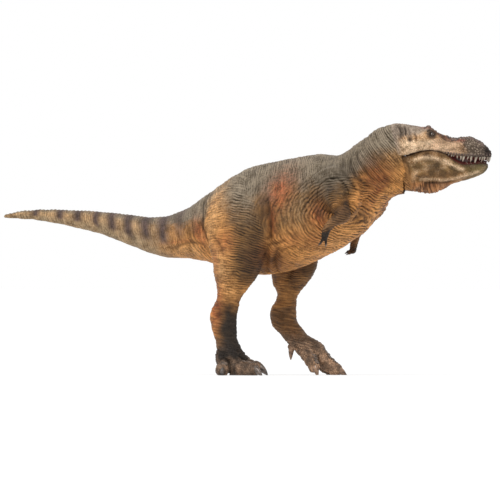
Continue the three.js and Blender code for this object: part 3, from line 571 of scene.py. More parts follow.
# %% Tongue
tongue_table = curve_through([
    [-0.05, 0.02, -0.05, 0.14],
    [0.03, 0.075, -0.1, 0.26],
    [0.12, 0.1, -0.12, 0.31],
    [0.25, 0.135, -0.125, 0.33],
    [0.4, 0.13, -0.13, 0.31],
    [0.52, 0.07, -0.15, 0.27],
    [0.65, 0.045, -0.16, 0.23],
    [0.78, 0.04, -0.165, 0.19],
    [0.87, 0.03, -0.15, 0.12],
    [0.91, 0.0, -0.1, 0.05],
])
TONGUE_POWER = 2.4
FURROW_DEPTH = 0.5
FURROW_WIDTH = 0.7


def tongue_field(p):
    x, y, z = to_head(p)
    share = x / HEAD_LENGTH
    top, bottom, width = read(tongue_table, share)
    middle = (top + bottom) / 2 * HEAD_DEPTH
    half = (top - bottom) / 2 * HEAD_DEPTH
    body = oval(y, z - middle, width * HEAD_WIDTH / 2, half, half, TONGUE_POWER)
    furrow = FURROW_DEPTH * hump(y, 0, FURROW_WIDTH) * (z > middle)
    start, end = tongue_table[0][0], tongue_table[0][-1]
    return np.maximum(body + furrow, np.maximum(start - share, share - end) * HEAD_LENGTH)


# %% [markdown]
# ## Arms
# An arm turns in its shoulder, so the patch of skin round it must be a true round, domed disc: whatever
# way the arm hangs, its rim then stays in line with the flank. The flank rises to meet the rim.

# %% Arm tables and fields
arm_rows = {
    "right": [
        [0.04, -0.02, 0, 1.45],
        [0.2, -0.24, 0.07, 1.1],
        [0.235, -0.375, 0.1, 0.86],
        [0.065, -0.475, 0.13, 0.6],
        [-0.056, -0.6, 0.13, 0.48],
        [-0.1, -0.73, 0.13, 0.42],
    ],
    "left": [
        [-0.08, -0.05, 0, 1.35],
        [-0.127, -0.33, 0.06, 1],
        [-0.18, -0.547, 0.09, 0.75],
        [-0.25, -0.8, 0.09, 0.48],
        [-0.28, -0.94, 0.09, 0.42],
        [-0.29, -0.99, 0.09, 0.4],
    ],
}
finger_tips = {
    "right": [[-0.17, -0.85, 0.02], [-0.09, -0.86, -0.02]],
    "left": [[-0.4, -1.02, 0.02], [-0.35, -1.04, -0.02]],
}
ARM_STANDOFF = 1.6
ARM_LINKS = 14
ARM_MELT = 3.5
FINGER_RADII = (1.3, 1.0, 0.75)
FINGER_WEB = 0.6
PLATE = 3.0
SOCKET_GAP = 0.08


def arm_side(name):
    return -1 if name == "right" else 1


def arm_point(name, ahead, above, outside):
    way = np.array([ahead, arm_side(name) * outside, above])
    return shoulders[name] + way * ARM_LENGTH


def wrist_of(name):
    return arm_point(name, *arm_rows[name][-1][:3])


def finger_end(name, ahead, above, outside):
    """The tip of a finger, which lies `outside` of the wrist."""
    end = arm_point(name, ahead, above, 0)
    end[1] = wrist_of(name)[1] + arm_side(name) * outside * ARM_LENGTH
    return end


def from_shoulder(p, name):
    """Distance from the axis of a shoulder, and height over the plane of its rim."""
    q = p - shoulders[name]
    return np.hypot(q[:, 0], q[:, 2]), arm_side(name) * q[:, 1]


RIM_HEIGHT = 0.3
PAD_FALL = 0.1
PAD_POWER = 1.6
PAD_REACH = 17.0
PAD_DEPTH = 7.0
BOWL_RISE = 0.3
BOWL_FLARE = 0.18


def dome_height(radius):
    share = np.clip(radius / SHOULDER_RADIUS, 0, 1)
    return RIM_HEIGHT + (SHOULDER_DOME - RIM_HEIGHT) * (0.5 + 0.5 * np.cos(math.pi * share))


def rim_pad(p, name):
    """The part of the flank that rises to the rim of the shoulder and falls away round it."""
    radius, out = from_shoulder(p, name)
    top = out - RIM_HEIGHT + PAD_FALL * np.maximum(radius - SHOULDER_RADIUS, 0) ** PAD_POWER
    return np.maximum(top, np.maximum(radius - PAD_REACH, -PAD_DEPTH - out))


def above_rim(p, name):
    """How far a point stands over the bowl that opens from the rim of the shoulder."""
    radius, out = from_shoulder(p, name)
    past = np.maximum(radius - SHOULDER_RADIUS, 0)
    return out - RIM_HEIGHT - BOWL_RISE * past - BOWL_FLARE * past**2


def arm_field(p, name):
    radius, out = from_shoulder(p, name)
    disc = np.maximum(radius - SHOULDER_RADIUS, out - dome_height(radius))
    disc = np.maximum(disc, -PLATE - out)
    points = np.array([arm_point(name, *row[:3]) for row in arm_rows[name]])
    sizes = [row[3] * ARM_RADIUS for row in arm_rows[name]]
    table = np.column_stack([np.linspace(0, 1, len(points)), points, sizes])
    x, y, z, size = read(curve_through(table), np.linspace(0, 1, ARM_LINKS))
    limb = chain_field(p, np.column_stack([x, y, z]), size)
    wrist = wrist_of(name)
    for tip in finger_tips[name]:
        end = finger_end(name, *tip)
        finger = chain_field(p, [wrist, (wrist + end) / 2, end], FINGER_RADII)
        limb = soft_union(limb, finger, FINGER_WEB)
    limb = np.maximum(limb, ARM_STANDOFF - out)
    return soft_union(disc, limb, ARM_MELT)


# %% [markdown]
# ## One skin, cut into castings
# The whole skin is the soft union of trunk, legs and feet. A casting is the part of it that lies in its
# own land, which is bounded by the same seams as on the real toy. Each casting reaches a little under its
# neighbour, like a lap joint, and dips there, so that no gap shows and no two skins lie on each other.

# %% The whole skin
TAIL_SEAM = 0.519
NECK_SEAM = (0.927, 0.88)
NECK_LEAN = math.radians(23.4)
SEAT = 12.0
LAP = 1.6
DIP = 0.16
DIP_WAY = 0.5
FOOT_MELT = 2.5
PAD_MELT = 6
LIMB_MELT = 3.0
HIP_MARGIN = 1.5


def limb_field(p, name):
    leg = legs[name]
    return soft_union(leg_field(p, leg), toes_field(p, leg), FOOT_MELT)


def whole_field(p):
    skin = trunk_field(p)
    for name in SIDES:
        skin = np.maximum(soft_union(skin, rim_pad(p, name), PAD_MELT), above_rim(p, name))
        skin = soft_union(skin, limb_field(p, name), LIMB_MELT)
    return skin


def past_tail_seam(p):
    return p[:, 0] - tip_x - TAIL_SEAM * SPINE_LENGTH


def past_neck_seam(p):
    x = p[:, 0] - tip_x - NECK_SEAM[0] * SPINE_LENGTH
    z = p[:, 2] - NECK_SEAM[1] * BACK_HEIGHT
    return x * math.cos(NECK_LEAN) + z * math.sin(NECK_LEAN)


def past_skull_seam(p):
    x, _, z = to_head(p)
    return -behind_seam(x, z)


def above_ankle(p, name):
    leg = legs[name]
    x = p[:, 0] - hip_x - leg["ankle_place"] * STRIDE_LENGTH
    z = p[:, 2] - leg["ankle"] * HIP_HEIGHT
    return x * math.sin(leg["tilt"]) + z * math.cos(leg["tilt"])


def leg_land(p, name):
    """Negative where the skin belongs to this leg and its foot."""
    own = limb_field(p, name) - HIP_MARGIN
    seat = SEAT - legs[name]["side"] * (p[:, 1] - middle_y)
    return np.maximum(own, seat)


def off_legs(p):
    return np.maximum(-leg_land(p, "right"), -leg_land(p, "left"))


def lands(*parts):
    return np.maximum.reduce(parts)


def torso_land(p, name):
    past_middle = (p[:, 1] - middle_y) * (1 if name == "right" else -1)
    return lands(-past_tail_seam(p), past_neck_seam(p), past_middle, off_legs(p))


land_of = {
    "tail": lambda p: lands(past_tail_seam(p), off_legs(p)),
    "torso_right_half": lambda p: torso_land(p, "right"),
    "torso_left_half": lambda p: torso_land(p, "left"),
    "neck": lambda p: lands(-past_neck_seam(p), past_skull_seam(p)),
    "right_leg": lambda p: lands(leg_land(p, "right"), -above_ankle(p, "right")),
    "left_leg": lambda p: lands(leg_land(p, "left"), -above_ankle(p, "left")),
    "right_foot": lambda p: lands(leg_land(p, "right"), above_ankle(p, "right")),
    "left_foot": lambda p: lands(leg_land(p, "left"), above_ankle(p, "left")),
}


def cut_to(land, skin):
    """The skin inside its land. Past the seam it dips, and it ends a lap further on."""
    return np.maximum(skin + DIP * step_up(land, 0, DIP_WAY), land - LAP)


def casting_field(p, name):
    solid = cut_to(land_of[name](p), whole_field(p))
    if name == "neck":
        solid = np.maximum(solid, NECK_ROOM - sweep_of(jaw_field, p, NECK_SWEEP))
    if name.startswith("torso"):
        radius, out = from_shoulder(p, name.split("_")[1])
        socket = np.maximum(radius - SHOULDER_RADIUS - SOCKET_GAP, -PLATE - CLEARANCE - out)
        solid = np.maximum(solid, -socket)
    if name.endswith("foot"):
        solid = np.maximum(solid, -p[:, 2])
    return solid


def upper_head_field(p):
    x, y, z = to_head(p)
    solid = cut_to(behind_seam(x, z), skull_field(p))
    solid = np.maximum(solid, -mouth_space(palate, x, y, z, 1))
    solid = np.maximum(solid, JAW_ROOM - sweep_of(tongue_field, p))
    return np.maximum(solid, JAW_ROOM - sweep_of(jaw_field, p))


def lower_head_field(p):
    x, y, z = to_head(p)
    solid = np.maximum(jaw_field(p), -mouth_space(mouth_floor, x, y, z, -1))
    return np.maximum(solid, TONGUE_ROOM - tongue_field(p))


# %% [markdown]
# ## From the field to a mesh
# The field is sampled on a grid and its zero level becomes a mesh of nearly square faces. Far from the
# skin a coarse sample is enough, so the fine one is only taken near it. One step of subdivision halves
# the faces, and a few steps along the slope of the field bring each point exactly onto the skin.

# %% Sampling, skinning and landing on the skin
COARSE = 4
NEAR = 1.9
PARCEL = 20000
STEEP_ENOUGH = 0.05
LONGEST_STEP = 0.6
workers = ThreadPoolExecutor(4)


def parcels_of(points):
    return np.array_split(points, max(1, len(points) // PARCEL))


def in_parcels(work, points):
    """What `work` gives at all points, worked out in parcels on four cores."""
    return np.concatenate(list(workers.map(work, parcels_of(points))))


def skin_of(field, low, high, cell):
    """Points and quads of the field's zero level, in millimetres."""
    shape = (np.ceil((high - low) / cell / COARSE).astype(int) + 1) * COARSE
    axes = [low[axis] + cell * np.arange(shape[axis]) for axis in range(3)]
    middles = [axis.reshape(-1, COARSE).mean(axis=1) for axis in axes]
    points = np.stack(np.meshgrid(*middles, indexing="ij"), axis=-1).reshape(-1, 3)
    coarse = in_parcels(field, points).reshape([len(middle) for middle in middles])
    values = coarse.repeat(COARSE, 0).repeat(COARSE, 1).repeat(COARSE, 2).astype(np.float32)
    near = np.argwhere(np.abs(values) < cell * COARSE * NEAR)
    values[tuple(near.T)] = in_parcels(field, low + near * cell)
    grid = openvdb.FloatGrid(background=float(values.max()))
    grid.copyFromArray(values)
    found, quads = grid.convertToQuads(isovalue=0.0)
    return low + found * cell, quads


def slope_of(field, points, values, reach=0.05):
    slope = np.empty_like(points)
    for axis in range(3):
        aside = points.copy()
        aside[:, axis] += reach
        slope[:, axis] = (in_parcels(field, aside) - values) / reach
    return slope


def landed(field, points, rounds=2):
    """The points after a few steps along the slope of the field, onto its zero level."""
    for _ in range(rounds):
        values = in_parcels(field, points)
        slope = slope_of(field, points, values)
        length = np.maximum((slope * slope).sum(axis=1), STEEP_ENOUGH)
        points = points - slope * (np.clip(values, -LONGEST_STEP, LONGEST_STEP) / length)[:, None]
    return points


def set_points(mesh, points):
    mesh.vertices.foreach_set("co", (points * MM).astype(np.float32).ravel())


def set_mask(mesh, name, values):
    layer = mesh.attributes.new(name, "FLOAT", "POINT")
    layer.data.foreach_set("value", values.astype(np.float32))


def mesh_from(name, points, quads):
    mesh = bpy.data.meshes.new(name)
    mesh.vertices.add(len(points))
    set_points(mesh, points)
    mesh.loops.add(len(quads) * 4)
    mesh.loops.foreach_set("vertex_index", quads.astype(np.int32).ravel())
    mesh.polygons.add(len(quads))
    mesh.polygons.foreach_set("loop_start", np.arange(0, len(quads) * 4, 4, dtype=np.int32))
    mesh.update(calc_edges=True)
    mesh.shade_smooth()
    return mesh


def points_of(mesh):
    flat = np.empty(len(mesh.vertices) * 3, np.float32)
    mesh.vertices.foreach_get("co", flat)
    return flat.reshape(-1, 3).astype(float) / MM


def finer(name, mesh):
    """The mesh after one round of subdivision, as a plain mesh on a new object."""
    rough = bpy.data.objects.new(name + "_rough", mesh)
    bpy.context.scene.collection.objects.link(rough)
    rough.modifiers.new("halve", "SUBSURF").levels = 1
    depsgraph = bpy.context.evaluated_depsgraph_get()
    smooth = bpy.data.meshes.new_from_object(rough.evaluated_get(depsgraph))
    bpy.data.objects.remove(rough)
    bpy.data.meshes.remove(mesh)
    smooth.name = name
    smooth.shade_smooth()
    return smooth


# %% [markdown]
# ## Noise
# Skin needs irregular lines. Gradient noise gives a smooth value that wanders round zero: its zero lines
# make creases, and its hills make lumps. A fixed seed gives the same skin on each run. Scales need another
# pattern, in which each point knows how far it is from the nearest scattered centres.

# %% Noise and scattered centres
CORNERS = [(x, y, z) for x in (0, 1) for y in (0, 1) for z in (0, 1)]
NEIGHBOURS = [(x, y, z) for x in (-1, 0, 1) for y in (-1, 0, 1) for z in (-1, 0, 1)]
chance = np.random.default_rng(11)
shuffled = chance.permutation(256)
leans = chance.normal(size=(256, 3))
leans /= np.linalg.norm(leans, axis=1)[:, None]
centres = chance.random((256, 3)) * 0.8 + 0.1
NOISE_GAIN = 1.6


def key_of(cell):
    cell = cell & 255
    first = shuffled[cell[:, 0]] + cell[:, 1]
    return shuffled[(shuffled[first & 255] + cell[:, 2]) & 255]


def noise(q):
    """Gradient noise, mostly between -1 and 1."""
    cell = np.floor(q).astype(int)
    part = q - cell
    ease = part**3 * (part * (part * 6 - 15) + 10)
    total = np.zeros(len(q))
    for corner in CORNERS:
        pull = (leans[key_of(cell + corner)] * (part - corner)).sum(axis=1)
        total += pull * np.where(corner, ease, 1 - ease).prod(axis=1)
    return total * NOISE_GAIN


def scatter(q):
    """Distance to the nearest scattered centre and to the next one."""
    cell = np.floor(q).astype(int)
    part = q - cell
    first = np.full(len(q), 9.0)
    second = np.full(len(q), 9.0)
    for side in NEIGHBOURS:
        gap = centres[key_of(cell + side)] + side - part
        away = (gap * gap).sum(axis=1)
        second = np.minimum(second, np.maximum(first, away))
        first = np.minimum(first, away)
    return np.sqrt(first), np.sqrt(second)


def off_edge(p, size):
    """0 on the edge between two scales of the given size, and more towards the middle of a scale."""
    near, far = scatter(p / size)
    return far - near


# %% [markdown]
# ## Relief by region
# Old, loose skin folds across the way it bends: in rings on the tail, in arcs round the shoulder, in level
# lines on the thigh and straight across the neck. Each region has its own direction, and the regions melt
# into each other. The deepest creases, where a leg or the neck meets the body, are placed one by one.

# %% Where a point is on the body
LEG_EDGE = 2.5
NECK_EDGE = (-15, 1)
TAIL_ROOT = (0.44, 0.56)
SPOT_EDGE = (3, 8)
FOLD_EDGE = (3, 9)


def spine_level(p):
    """0 on the belly and 1 on the back, level with the point."""
    top, bottom, _, _ = read(spine, spine_place(p))
    return (p[:, 2] / BACK_HEIGHT - bottom) / (top - bottom)


def outward(p):
    return np.abs(p[:, 1] - middle_y)


def leg_share(p):
    """1 on a leg and 0 on the trunk."""
    limbs = np.minimum(leg_field(p, legs["right"]), leg_field(p, legs["left"]))
    return step_up(trunk_field(p) - limbs, -LEG_EDGE, LEG_EDGE)


def neck_share(p):
    """1 on the neck and 0 on the trunk."""
    return step_up(past_neck_seam(p), *NECK_EDGE)


def leg_axis(p):
    """Where the middle of the leg on this side is, ahead or behind, at the point's height."""
    right, left = [leg_middle(legs[name], p[:, 2])[0] for name in SIDES]
    return np.where(p[:, 1] < middle_y, right, left)


def spot(p, x, z, reach_x, reach_z, lean=0):
    """A soft round patch on both flanks."""
    across, up = p[:, 0] - x, p[:, 2] - z
    turned = across * math.cos(lean) + up * math.sin(lean)
    rise = up * math.cos(lean) - across * math.sin(lean)
    side = step_up(outward(p), *SPOT_EDGE)
    return side * np.exp(-((turned / reach_x) ** 2) - (rise / reach_z) ** 2)


# %% Creases placed one by one
CREASE_POWER = 1.6
LIP_PLACE = 2.2
LIP_WIDTH = 1.3
LIP_LIFT = 0.28


def along_line(x, z, line):
    """Distance to a line of points in the side view, and how far along it the nearest place is."""
    line = np.array(line, float)
    nearest = np.full(len(x), 1e3)
    place = np.zeros(len(x))
    for step, (start, end) in enumerate(zip(line, line[1:])):
        way = end - start
        share = np.clip(((x - start[0]) * way[0] + (z - start[1]) * way[1]) / (way @ way), 0, 1)
        gap = np.hypot(x - start[0] - share * way[0], z - start[1] - share * way[1])
        place = np.where(gap < nearest, (step + share) / (len(line) - 1), place)
        nearest = np.minimum(nearest, gap)
    return nearest, place


def fold_line(x, z, line, width, taper=0.2):
    """1 in the crease and 1 on the lips beside it. Both run out at the two ends."""
    gap, place = along_line(x, z, line)
    ends = step_up(place, 0, taper) * step_up(1 - place, 0, taper)
    crease = np.exp(-((gap / width) ** CREASE_POWER))
    return crease * ends, hump(gap, LIP_PLACE * width, LIP_WIDTH * width) * ends


body_folds = [
    ([(30.5, 116), (33.1, 106.6), (34.7, 99.2), (35.6, 93), (35, 86.8), (32.1, 77.5)], 1.5, 2.0),
    ([(-12.5, 114), (-15.8, 105.4), (-14.1, 99.2), (-13.5, 91.1), (-10.7, 84.9), (-4, 78)], 1.2, 0.9),
    ([(-43, 77), (-37.3, 78.7), (-30, 80.8), (-22.5, 82.1), (-16, 81.5), (-9, 78.5)], 1.1, 0.7),
    ([(31.4, 79.2), (35.5, 81.3), (39, 81.5), (46, 83.5)], 1.0, 0.8),
    ([(36, 72), (40, 76.5), (46, 79.5), (54, 80.5)], 0.8, 0.7),
    ([(34, 82), (31, 75), (28, 68), (24, 60)], 1.2, 1.2),
    ([(42, 81), (37, 76), (33.5, 70), (31, 62), (28, 57)], 1.2, 1.5),
    ([(79.1, 135.2), (81.7, 127.1), (88.9, 119), (94.7, 110.4)], 0.9, 0.9),
    ([(83.5, 137.6), (86.4, 128.3), (93, 120.3), (98.9, 112.8)], 0.9, 1.0),
    ([(87.7, 140.1), (89.7, 133.3), (95.7, 125.2), (101.1, 117.2)], 0.9, 0.9),
    ([(73.9, 128.6), (78, 124.5), (82.3, 119.7), (88, 113)], 0.8, 0.7),
    ([(69, 130), (71, 126), (76, 121.5), (80, 119.8)], 0.8, 0.5),
    ([(88, 108.5), (93, 103), (98.9, 98.6), (103, 98)], 0.7, 0.6),
    ([(90, 105), (97, 111.5), (103, 115.5), (110, 119.4)], 0.7, 0.6),
    ([(84, 100), (88, 96), (94, 93), (99, 93)], 0.7, 0.5),
    ([(16, 77), (19, 82), (18, 90), (21, 97)], 1.4, 0.4),
    ([(-4, 88), (1, 83.5), (5, 78.5), (6.5, 71)], 1.2, 0.7),
]
SHOULDER_X, SHOULDER_Z = shoulders["right"][[0, 2]]
shoulder_rings = [(13.2, 95, 250), (16.2, 85, 255), (19.4, 100, 265), (23.0, 130, 275)]
for ring, first, last in shoulder_rings:
    turns = np.radians(np.linspace(first, last, 9))
    arc = [(SHOULDER_X + ring * math.cos(turn), SHOULDER_Z + ring * math.sin(turn)) for turn in turns]
    body_folds.append((arc, 0.75, 0.6))
print("placed folds on the body:", len(body_folds))


def hand_folds(p):
    """How deep the placed creases are, and a mask of them, painted dark as wash and as painted shade."""
    height = np.zeros(len(p))
    mark = np.zeros(len(p))
    side = step_up(outward(p), *FOLD_EDGE)
    for line, width, depth in body_folds:
        crease, lips = fold_line(p[:, 0], p[:, 2], line, width)
        height += side * depth * (LIP_LIFT * lips - crease)
        mark = np.maximum(mark, side * crease * min(1, depth))
    return height, mark


# %% Folds of the body
FOLD_WANDER = 0.5
FOLD_SHARPNESS = 0.17


def skin_folds(p, direction, wave, length, seed):
    """Creases that lie across `direction`, about one to every `wave` millimetres."""
    along = direction / wave
    across = (p[:, 0] + p[:, 2]) / length
    other = (p[:, 1] + 0.3 * p[:, 0] - 0.4 * p[:, 2]) / length
    q = np.column_stack([along + seed * 9.7, across, other])
    q[:, 0] += FOLD_WANDER * noise(p / (wave * 4.5) + seed)
    value = np.abs(noise(q))
    return np.exp(-value / FOLD_SHARPNESS), value


def folded(p, direction, wave, length, depth, seed):
    """Height of the folds, how deep in a crease a point is and how high on a ridge."""
    crease, value = skin_folds(p, direction, wave, length, seed)
    ridge = np.clip(value * 2.6 - 0.25, 0, 1)
    return np.stack([depth * (1.3 * np.minimum(value, 0.55) - crease), crease, ridge])


HIP_MIDDLE = 12.0
ELBOW_RINGS = (84.0, 98.0)
NECK_FROM = 112.0

# The wave, the length and the depth of the creases in each region, and the seed of their noise.
SPINE_CREASES = (1.5, 14.0, 0.2, 1)
NECK_CREASES = (3.0, 20.0, 0.75, 12)
FLANK_CREASES = (1.5, 16.0, 0.24, 2)
LEG_CREASES = (1.5, 13.0, 0.24, 4)
TOE_CREASES = (1.5, 14.0, 0.6, 8)
NAPE_CREASES = (1.3, 9.0, 0.3, 10)
THROAT_CREASES = (1.3, 12.0, 0.45, 11)


def fold_ways(p):
    """Three ways across which skin folds, in millimetres, and how far a point follows the last two."""
    x, z = p[:, 0], p[:, 2]
    place, level, on_leg = spine_place(p), spine_level(p), leg_share(p)
    lean = 0.25 * (1 - step_up(place, 0.4, 0.6)) + 0.9 * step_up(place, 0.78, 0.98)
    chevron = 0.35 * step_up(place, 0.5, 0.6) * (1 - step_up(place, 0.85, 0.95))
    spine_way = x + lean * (z - NECK_FROM) - chevron * outward(p)
    across, up = x - ELBOW_RINGS[0], z - ELBOW_RINGS[1]
    flank_way = np.hypot(across / 1.4, up) - 0.22 * np.minimum(z - 85, 0)
    leg_way = z + 0.012 * (x - HIP_MIDDLE) ** 2 * step_up(z, 55, 90) + 0.15 * x
    trunk = step_up(place, *TAIL_ROOT) * (1 - neck_share(p))
    flank = trunk * (1 - step_up(level, 0.6, 0.86))
    flank = np.maximum(flank, step_up(-np.hypot(across, up), -31, -21)) * (1 - on_leg)
    return spine_way, flank_way, leg_way, flank, on_leg


BODY_SCALE = 1.1
BACK_KNOBS = 2.6


def body_relief(p):
    """Height, creases, ridges and the mask of the placed creases."""
    spine_way, flank_way, leg_way, flank, on_leg = fold_ways(p)
    place, level = spine_place(p), spine_level(p)
    along_spine = folded(p, spine_way, *SPINE_CREASES) * (0.4 + 0.6 * step_up(place, 0.4, 0.6))
    neck = step_up(place, 0.84, 0.94)
    pleats = folded(p, spine_way, *NECK_CREASES)
    along_spine = along_spine * (1 - 0.4 * neck) + 0.6 * neck * pleats
    total = (1 - flank - on_leg) * along_spine + flank * folded(p, flank_way, *FLANK_CREASES)
    height, hollow, ridge = total + on_leg * folded(p, leg_way, *LEG_CREASES)
    placed, mark = hand_folds(p)
    height += placed * (1 - 0.2 * on_leg)
    height += 0.4 * noise(p / 11) + 0.2 * noise(p / 4.2 + 5)
    back_line = step_up(level, 0.93, 1.0) * (1 - on_leg) * step_up(-place, -0.9, -0.7)
    height += back_line * (0.2 + 0.16 * np.cos(p[:, 0] * 2 * math.pi / BACK_KNOBS))
    height += 0.07 * np.clip(off_edge(p, BODY_SCALE) * 2.2, 0, 1)
    # The placed creases take a dark wash that is partly painted shade.
    hollow = np.maximum(np.clip(hollow, 0, 1) * 0.22, 0.55 * mark)
    return height, hollow, np.clip(ridge, 0, 1), mark


# %% [markdown]
# ## Paint by region
# The factory airbrushes broad patches, rubs a dark wash into the creases and drags a nearly dry pale
# brush over the ridges. Masks say how much of each coat a point has. The materials turn them into colour.
# Some dark coats are painted shade: in the deep placed creases, round the eye, where the thigh meets the
# belly and on the far leg.

# %% Coats of paint on the body
# A spot of paint is its place ahead and up, its reach ahead and up, its lean and its strength.
COATS = ["mid", "yellow", "back", "pale", "flush", "band", "dark"]
tail_bands = [0.083, 0.149, 0.196, 0.2436, 0.2878, 0.3313, 0.3797, 0.4277, 0.4762]
grey_edge = curve_through([
    [0, 0.9], [0.3, 0.86], [0.42, 0.76], [0.5, 0.62], [0.6, 0.56], [0.7, 0.66], [0.8, 0.7], [0.86, 0.6],
    [0.92, 0.54], [1, 0.58], [1.05, 0.58],
])
flush_spots = [
    (41, 114, 9, 12, -0.3, 0.62), (68, 98, 7, 10, 0.1, 0.55), (37, 97, 3, 13, 0, 0.55),
    (-16, 88, 4, 9, 0.35, 0.6), (7, 82, 7, 7, 0.4, 0.45), (101, 105, 8, 8, 0, 0.5),
    (103, 119, 8, 12, 0.3, 0.6), (104, 116.6, 9, 3.2, 0.6, 0.8), (-34, 82.5, 14, 1.2, 0.1, 0.3),
    (-1, 70, 3, 12, 0, 0.4), (-1, 42, 5, 16, 0, 0.8), (62, 84, 9, 6, 0.3, 0.3),
    (50, 84, 14, 5, 0.2, 0.25), (32, 72, 10, 9, 0.5, 0.4),
]
pale_spots = [
    (-4, 102, 7, 18, 0, 0.75), (2, 66, 7, 14, 0, 0.8), (8, 52, 7, 6, 0, 0.3), (111, 134, 6, 5, 0.5, 0.5),
    (-10, 90, 6, 9, 0, 0.55), (-26, 77, 14, 5, 0.1, 0.6), (70, 82, 16, 5, 0.5, 0.4),
]
# Most dark spots are dark paint. The spot 33 ahead and 72 up is painted shade, where the thigh meets the
# belly.
dark_and_shade_spots = [
    (23, 72, 9, 17, -0.15, 0.7), (29, 94, 6, 16, 0, 0.6), (19, 90, 10, 12, 0, 0.35),
    (77, 113, 13, 13, 0, 0.5), (70, 101, 8, 8, 0, 0.4), (84, 124, 7, 9, 0, 0.35),
    (90, 128, 5, 9, 0.2, 0.1), (36, 80.8, 6, 1.6, 0.1, 0.3), (33, 72, 9, 11, 0.5, 0.6),
    (57, 92, 14, 7, 0.2, 0.2), (110, 116, 10, 13, 0.35, 0.68), (86, 101, 7, 7, 0, 0.6),
    (60, 88, 16, 7, 0.2, 0.25), (-2, 50, 4, 20, 0, 0.2), (98, 113, 6, 9, 0.3, 0.35),
]
print("spots of paint:", len(flush_spots) + len(pale_spots) + len(dark_and_shade_spots))


def coats_on_body(p, mark):
    place, level = spine_place(p), spine_level(p)
    on_leg = leg_share(p)
    drift = noise(p / 7.5 + 2)
    speckle = noise(p / 2.3)
    off_leg = 1 - on_leg
    edge = read(grey_edge, place)[0]
    back = step_up(level + 0.09 * drift + 0.05 * speckle, edge - 0.14, edge + 0.14)
    round_leg = step_up(p[:, 2] + 3 * drift, 86, 116)
    ahead_of_rump = step_up(p[:, 0] + 2 * drift + 0.6 * (p[:, 2] - 100), -8, 14)
    back = back * off_leg + on_leg * round_leg * ahead_of_rump
    mid = step_up(level + 0.1 * drift, 0.22, 0.5) * off_leg * step_up(place, *TAIL_ROOT)
    front = step_up(p[:, 0] - leg_axis(p) + 2 * drift, -6, 7)
    mid = mid + on_leg * (0.2 + 0.8 * front) * step_up(p[:, 2], 48, 66)
    band = np.zeros(len(p))
    shift = 0.024 * np.clip(0.8 - level, -0.2, 1) * step_up(place, 0.1, 0.4)
    width = 0.011 + 0.006 * step_up(place, 0.2, 0.5)
    for middle in tail_bands:
        band = np.maximum(band, hump(place + 0.003 * drift, middle + shift, width))
    band *= step_up(level + 0.1 * drift, 0.22, 0.52) * off_leg * (1 - 0.55 * step_up(place, 0.44, 0.5))
    on_tail = 1 - step_up(place, 0.38, 0.5)
    yellow = np.maximum(on_tail * (0.88 + 0.12 * drift) * off_leg, 0.25 * spot(p, 53, 103, 11, 13))
    flush, pale, dark = [np.zeros(len(p)) for _ in range(3)]
    for target, spots in ((flush, flush_spots), (pale, pale_spots), (dark, dark_and_shade_spots)):
        for x, z, reach_x, reach_z, lean, strength in spots:
            np.maximum(target, strength * spot(p, x, z, reach_x, reach_z, lean), out=target)
    flush *= 1 + 0.5 * speckle
    tail_light = (1 - step_up(place, 0.36, 0.5)) * hump(level, 0.66, 0.22)
    pale = np.maximum(pale * (1 + 0.3 * drift), 0.3 * tail_light * off_leg)
    shin_front = step_up(p[:, 0] - leg_axis(p) + 2.5 * drift, -7, 4)
    shin = step_up(-p[:, 2] - 5 * drift, -56, -34) * (0.1 + 0.9 * shin_front)
    right_side = p[:, 1] < middle_y
    dark = np.maximum(dark * (1 + 0.3 * drift), shin * on_leg * np.where(right_side, 1.0, 0.48))
    # Painted shade: the far, left leg is darker below the hip, where its inner side lies in shade.
    dark = np.maximum(dark, 0.5 * on_leg * (1 - right_side) * step_up(-p[:, 2], -95, -80))
    # Dark in the placed creases: partly dark paint, partly painted shade.
    dark = np.maximum(dark, 0.5 * mark**1.5)
    return {"back": back, "mid": mid, "band": band, "yellow": yellow,
            "flush": np.clip(flush, 0, 1), "pale": np.clip(pale, 0, 1), "dark": np.clip(dark, 0, 1)}


# %% [markdown]
# ## Feet and arms
# The feet carry small round scales with rings round the toes, and wide pads that flatten on the ground.
# The arm is wrinkled in arcs under the shoulder, and its hand is nearly black.

# %% Relief and paint of feet and arms
FOOT_SCALE = 1.25
ARM_SCALE = 0.9
TOE_GROOVE = 0.9


def toe_gaps(p, name):
    """1 in the groove between two toes."""
    toes = legs[name]["chains"][:3]
    reaches = np.sort([chain_field(p, points, radii) for points, radii in toes], axis=0)
    return hump(reaches[1] - reaches[0], 0, TOE_GROOVE) * step_up(-p[:, 2], -15, -9)


def foot_relief(p, name):
    right = name == "right"
    low = step_up(-p[:, 2], *((-22, -12) if right else (-30, -18)))
    high, hollow, ridge, mark = body_relief(p)
    rings, ring_crease, ring_ridge = folded(p, p[:, 2] + 0.3 * p[:, 0], *TOE_CREASES)
    edge = off_edge(p, FOOT_SCALE)
    groove = np.exp(-edge / 0.09)
    gaps = toe_gaps(p, name)
    scales = 0.2 * np.clip(edge * 2.4, 0, 1) - 0.1 * groove
    ringed = hump(p[:, 2], 15 if right else 20, 6)
    height = high * (1 - low) + low * (scales + 0.3 * noise(p / 3.4) - 1.3 * gaps) + ringed * rings
    hollow = hollow * (1 - low) + low * 0.45 * groove
    hollow = np.maximum(hollow, np.maximum(0.8 * ringed * ring_crease, gaps))
    coats = coats_on_body(p, mark)
    lit = 0.4 * noise(p / 3.7 + 4)
    gloom, bloom = (0.42, 0.25) if right else (0.05, 0.6)
    instep = 0.3 + 0.7 * step_up(p[:, 0] - leg_axis(p), -7, -2)
    ankle = (0.75 if right else 0.1) * step_up(p[:, 2], 7, 13) * instep
    coats["dark"] = coats["dark"] * (1 - low) + low * np.clip(gloom + ankle + lit, 0, 1)
    coats["back"] = coats["back"] * (1 - low) + low
    coats["pale"] = coats["pale"] * (1 - low) + low * np.clip(bloom - lit - 0.015 * p[:, 2], 0, 0.8)
    coats["ridge"] = ridge * (1 - low) + low * np.clip(edge * 2 + 0.3 * ringed * ring_ridge, 0, 1)
    return height, hollow, coats


